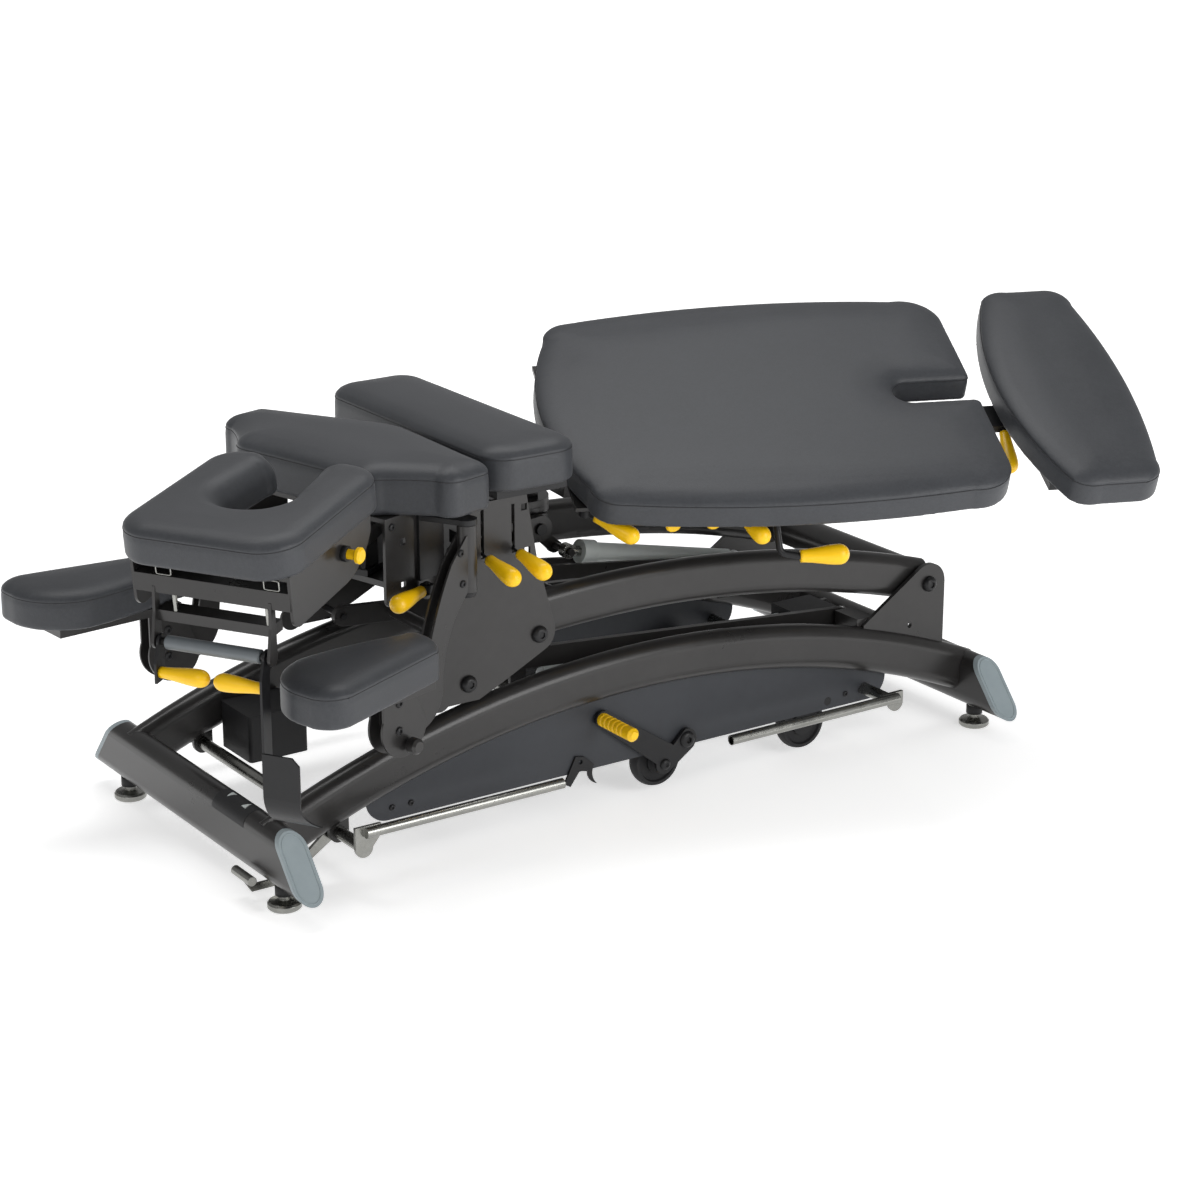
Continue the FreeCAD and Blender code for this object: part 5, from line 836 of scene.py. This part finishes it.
def ring(name, body, place, inner, outer, low, high, material):
    """Ring about +Z of a place: a rectangle with cut corners between two radii and two heights, turned
    all round."""
    cut = min(outer - inner, high - low) * RING_CUT
    section = np.array([(inner, low), (outer - cut, low), (outer, low + cut), (outer, high - cut),
                        (outer - cut, high), (inner, high)])
    angle = circle(RING_SIDES)
    x = section[:, 0] * np.cos(angle)[:, None]
    y = section[:, 0] * np.sin(angle)[:, None]
    z = np.broadcast_to(section[:, 1], x.shape)
    piece = surface(name, placed(np.stack([x, y, z], -1), place), closed_path=True, crisp=50)
    dress(piece, material, body)


def axis_of(node, way):
    """Point on the axis of a turned node whose axis runs along a way: the middle of its box across that
    way."""
    points = read_points(nodes[node].data)
    run = points @ np.array(way)
    flat = points - run[:, None] * np.array(way)
    return Vector((flat.max(0) + flat.min(0)) / 2), run.max()


FOOT_X = 0.725
FOOT_Y = 0.280
SLEEVE_INNER = 0.0130
SLEEVE_OUTER = 0.0150
SLEEVE_LOW = 0.0235
SLEEVE_TOP = 0.0400
for x in (-FOOT_X, FOOT_X):
    for y in (-FOOT_Y, FOOT_Y):
        label = ("head" if x < 0 else "tail") + ("_near" if y < 0 else "_far")
        ring("foot_sleeve_" + label, "base", shift(x, y, 0), SLEEVE_INNER, SLEEVE_OUTER, SLEEVE_LOW,
             SLEEVE_TOP, black_plastic)
KNOB_LENGTH = 0.032
KNOB_SLACK = 0.0015
COLLAR_INNER = 0.0084
COLLAR_OUTER = 0.0125
COLLAR_LENGTH = 0.0095
for node, section, body in (("head_knob", FACE, "head"), ("leg_knob_front", LEG_ROLL, "leg"),
                            ("leg_knob_rear", LEG_ROLL, "leg")):
    way = (section.to_3x3() @ Vector((0, -1, 0))).normalized()
    middle, end = axis_of(node, way)
    place = along(middle + way * (end - KNOB_LENGTH - KNOB_SLACK), way)
    ring(node + "_collar", body, place, COLLAR_INNER, COLLAR_OUTER, 0.0, COLLAR_LENGTH, black_plastic)

# %% [markdown]
# ## Wire clips and guide pins
# Two bright wire loops hold the face cushion's board to the folded channel, and two square pins guide
# the tilt catch below it. A loop is a circle carried round a rectangle with round corners.

# %% Clips and pins
LOOP_STEPS = 64
WIRE_SIDES = 10
PIN_CUT = 0.7


def wire_loop(name, body, place, wide, high, corner, wire):
    """Closed wire in the plane of a place: a rounded rectangle as a superellipse, with a circle round
    each point."""
    angle = circle(LOOP_STEPS)
    power = 2 / corner
    flat = np.stack([wide / 2 * np.sign(np.cos(angle)) * np.abs(np.cos(angle)) ** power,
                     high / 2 * np.sign(np.sin(angle)) * np.abs(np.sin(angle)) ** power], -1)
    ahead = np.roll(flat, -1, 0) - np.roll(flat, 1, 0)
    ahead /= np.linalg.norm(ahead, axis=1)[:, None]
    outward = np.stack([ahead[:, 1], -ahead[:, 0]], 1)
    turn = circle(WIRE_SIDES)
    spread = flat[:, None] + outward[:, None] * (wire * np.cos(turn))[:, None]
    depth = np.broadcast_to(wire * np.sin(turn), spread.shape[:2])
    grid = placed(np.concatenate([spread, depth[..., None]], -1), place)
    dress(surface(name, grid, closed_path=True), bright_zinc, body)


def square_pin(name, body, place, half, length):
    """Square pin along +Z of a place with cut corners: an eight-sided ring, drawn in a little at both
    ends."""
    cut = half * PIN_CUT
    corners = np.array([(half, cut), (cut, half), (-cut, half), (-half, cut), (-half, -cut),
                        (-cut, -half), (cut, -half), (half, -cut)])
    shares = np.array([PIN_CUT, 1.0, 1.0, PIN_CUT])
    levels = np.array([0.0, 0.06, 0.94, 1.0]) * length
    flat = corners * shares[:, None, None]
    grid = np.concatenate([flat, np.broadcast_to(levels[:, None, None], (4, 8, 1))], -1)
    dress(surface(name, placed(grid, place), crisp=30), bright_zinc, body)


CHANNEL_FRONT = -0.592
CLIP_WIDE = 0.026
CLIP_HIGH = 0.016
CLIP_CORNER = 8.0
CLIP_WIRE = 0.0012
PIN_HALF = 0.003
PIN_LENGTH = 0.030
for label, v in (("near", -0.107), ("far", 0.080)):
    place = FACE @ along((CHANNEL_FRONT - 0.0008, v, 0.643), (-1, 0, 0)) @ turn_z(90)
    wire_loop("head_clip_" + label, "head", place, CLIP_WIDE, CLIP_HIGH, CLIP_CORNER, CLIP_WIRE)
for label, v in (("near", -0.0945), ("far", 0.0665)):
    square_pin("tilt_guide_" + label, "head", FACE @ shift(CHANNEL_FRONT + 0.001, v, 0.5745), PIN_HALF,
               PIN_LENGTH)
print("clips and pins on the head section")

# %% [markdown]
# ## Marked band
# A dark film lies over the head cross tube, with two small arrows for up and down beside the foot bars.
# The film follows the tube's rounded top, so it is a strip on a half circle; an arrow is a short strip
# of the same circle whose width narrows to a point.

# %% Band
TUBE_RADIUS = 0.025
TUBE_TOP_CENTRE = 0.113
FILM = 0.0004


def film_strip(name, low_edge, high_edge, turn, lift, material):
    """Strip on the tube's round top. At each turn angle it spans from the low to the high edge along
    the tube; its outer skin is lifted off the tube, and its inner skin lies just under the tube's
    face."""
    inner = TUBE_RADIUS - FILM
    outer = TUBE_RADIUS + lift
    radius = np.array([inner, outer, outer, inner])
    x = -FOOT_X + radius * np.cos(turn)[:, None]
    z = TUBE_TOP_CENTRE + radius * np.sin(turn)[:, None]
    y = np.stack([low_edge, low_edge, high_edge, high_edge], -1)
    dress(surface(name, np.stack([x, y, z], -1), crisp=40), material, "base")


BAND_STEPS = 40
BAND_NEAR = np.full(BAND_STEPS, -0.195)
BAND_FAR = np.full(BAND_STEPS, -0.086)
sweep = np.radians(np.linspace(12, 178, BAND_STEPS))
film_strip("marked_band", BAND_NEAR, BAND_FAR, sweep, FILM, black_plastic)
ARROW_HALF = 0.007
ARROW_STEPS = 12
ARROW_TIP = 0.02
ARROW_TURNS = np.radians(np.linspace(78, 112, ARROW_STEPS))
narrowing = np.linspace(1, ARROW_TIP, ARROW_STEPS) * ARROW_HALF
for label, middle, width in (("up", -0.112, narrowing), ("down", -0.168, narrowing[::-1])):
    film_strip("arrow_" + label, middle - width, middle + width, ARROW_TURNS, FILM * 2, grey_tube)
print("band with two arrows")

# %% [markdown]
# ## End cap beads
# Each end cap is a moulding with a raised bead just inside its edge. The bead follows the outline of
# the cap's face, read from the frame, as a small circle carried round it.

# %% Beads
BEAD_INSET = 0.0055
BEAD = 0.0011
BEAD_STEP = 0.003
CAP_AREA = 0.003


def cap_faces():
    """Outer faces of the four caps: the large flat faces that look away from the middle of the table."""
    form = flat_form("end_caps")
    found = []
    for face in form.faces:
        middle = face.calc_center_median()
        if face.calc_area() > CAP_AREA and face.normal.y * middle.y > 0:
            found.append((np.array([vertex.co for vertex in face.verts]), np.array(face.normal)))
    form.free()
    return found


for number, (corners, out) in enumerate(cap_faces()):
    middle = corners.mean(0)
    place = np.array(along(middle, out))
    flat = ((corners - middle) @ place[:3, :3])[:, :2]
    path, inwards = even_outline_path(flat, BEAD_STEP)
    angle = circle(LINE_SIDES)
    centre = path + inwards * BEAD_INSET
    spread = centre[:, None] + inwards[:, None] * (BEAD * np.cos(angle))[:, None]
    rise = np.broadcast_to(BEAD * np.sin(angle), spread.shape[:2])
    grid = placed(np.concatenate([spread, rise[..., None]], -1), place)
    dress(surface("cap_bead_%d" % number, grid, closed_path=True), cap_plastic, "base")
print("beads on", number + 1, "caps")

# %% [markdown]
# ## Studio
# A white sweep and soft light from all sides, as in a catalogue picture: a long strip above, which
# draws a bright line along the tubes, a key from the near side and a weaker box from the head end, over
# an even pale surround. The floor gives a little light of its own, more of it further out, so that it
# is white all round the table's soft shadow. Seen past the floor's edge, the surround is white as well,
# though it lights the table only weakly.

# %% Studio
def area_light(name, place, aim, wide, high, power):
    """Soft light at a place, turned towards an aim."""
    data = bpy.data.lights.new(name, "AREA")
    data.shape = "RECTANGLE"
    data.size = wide
    data.size_y = high
    data.energy = power
    light = bpy.data.objects.new(name, data)
    light.location = place
    light.rotation_euler = (Vector(aim) - Vector(place)).to_track_quat("-Z", "Y").to_euler()
    bpy.context.scene.collection.objects.link(light)


TABLE_MIDDLE = (-0.1, 0.0, 0.4)
area_light("overhead_strip", (0.0, 0.5, 3.0), TABLE_MIDDLE, 3.2, 0.9, 41)
area_light("key_box", (0.9, -3.4, 1.5), TABLE_MIDDLE, 1.8, 1.8, 55)
area_light("side_box", (-3.2, -1.6, 2.0), TABLE_MIDDLE, 1.6, 1.6, 16)
world = bpy.data.worlds.new("white_surround")
world.use_nodes = True
world.node_tree.nodes["Background"].inputs["Color"].default_value = (1, 1, 1, 1)
SURROUND = 0.32
seen = world.node_tree.nodes.new("ShaderNodeLightPath").outputs["Is Camera Ray"]
added = add_math(world.node_tree, "MULTIPLY", seen, 1 - SURROUND)
strength = add_math(world.node_tree, "ADD", added, SURROUND)
world.node_tree.links.new(strength, world.node_tree.nodes["Background"].inputs["Strength"])
bpy.context.scene.world = world
bpy.context.scene.view_settings.view_transform = "Standard"

FLOOR_HALF = 30
GLOW_START = 0.7
GLOW_END = 2.6
GLOW_NEAR = 0.52
GLOW_FAR = 1.0
floor_mesh = bpy.data.meshes.new("floor")
floor_corners = [(x * FLOOR_HALF, y * FLOOR_HALF, 0) for x, y in ((-1, -1), (1, -1), (1, 1), (-1, 1))]
floor_mesh.from_pydata(floor_corners, [], [(0, 1, 2, 3)])
floor = bpy.data.objects.new("floor", floor_mesh)
bpy.context.scene.collection.objects.link(floor)
floor_coat = bpy.data.materials.new("white_sweep")
floor_coat.use_nodes = True
floor_shader = floor_coat.node_tree.nodes["Principled BSDF"]
floor_shader.inputs["Base Color"].default_value = (0.9, 0.9, 0.9, 1)
floor_shader.inputs["Roughness"].default_value = 0.7
floor_shader.inputs["Specular IOR Level"].default_value = 0.1
floor_shader.inputs["Emission Color"].default_value = (1, 1, 1, 1)
floor_tree = floor_coat.node_tree
reach = floor_tree.nodes.new("ShaderNodeVectorMath")
reach.operation = "LENGTH"
floor_tree.links.new(object_coords(floor_tree), reach.inputs[0])
glow = floor_tree.nodes.new("ShaderNodeMapRange")
glow.inputs["From Min"].default_value = GLOW_START
glow.inputs["From Max"].default_value = GLOW_END
glow.inputs["To Min"].default_value = GLOW_NEAR
glow.inputs["To Max"].default_value = GLOW_FAR
floor_tree.links.new(reach.outputs["Value"], glow.inputs["Value"])
floor_tree.links.new(glow.outputs["Result"], floor_shader.inputs["Emission Strength"])
floor_mesh.materials.append(floor_coat)
print("studio lit")
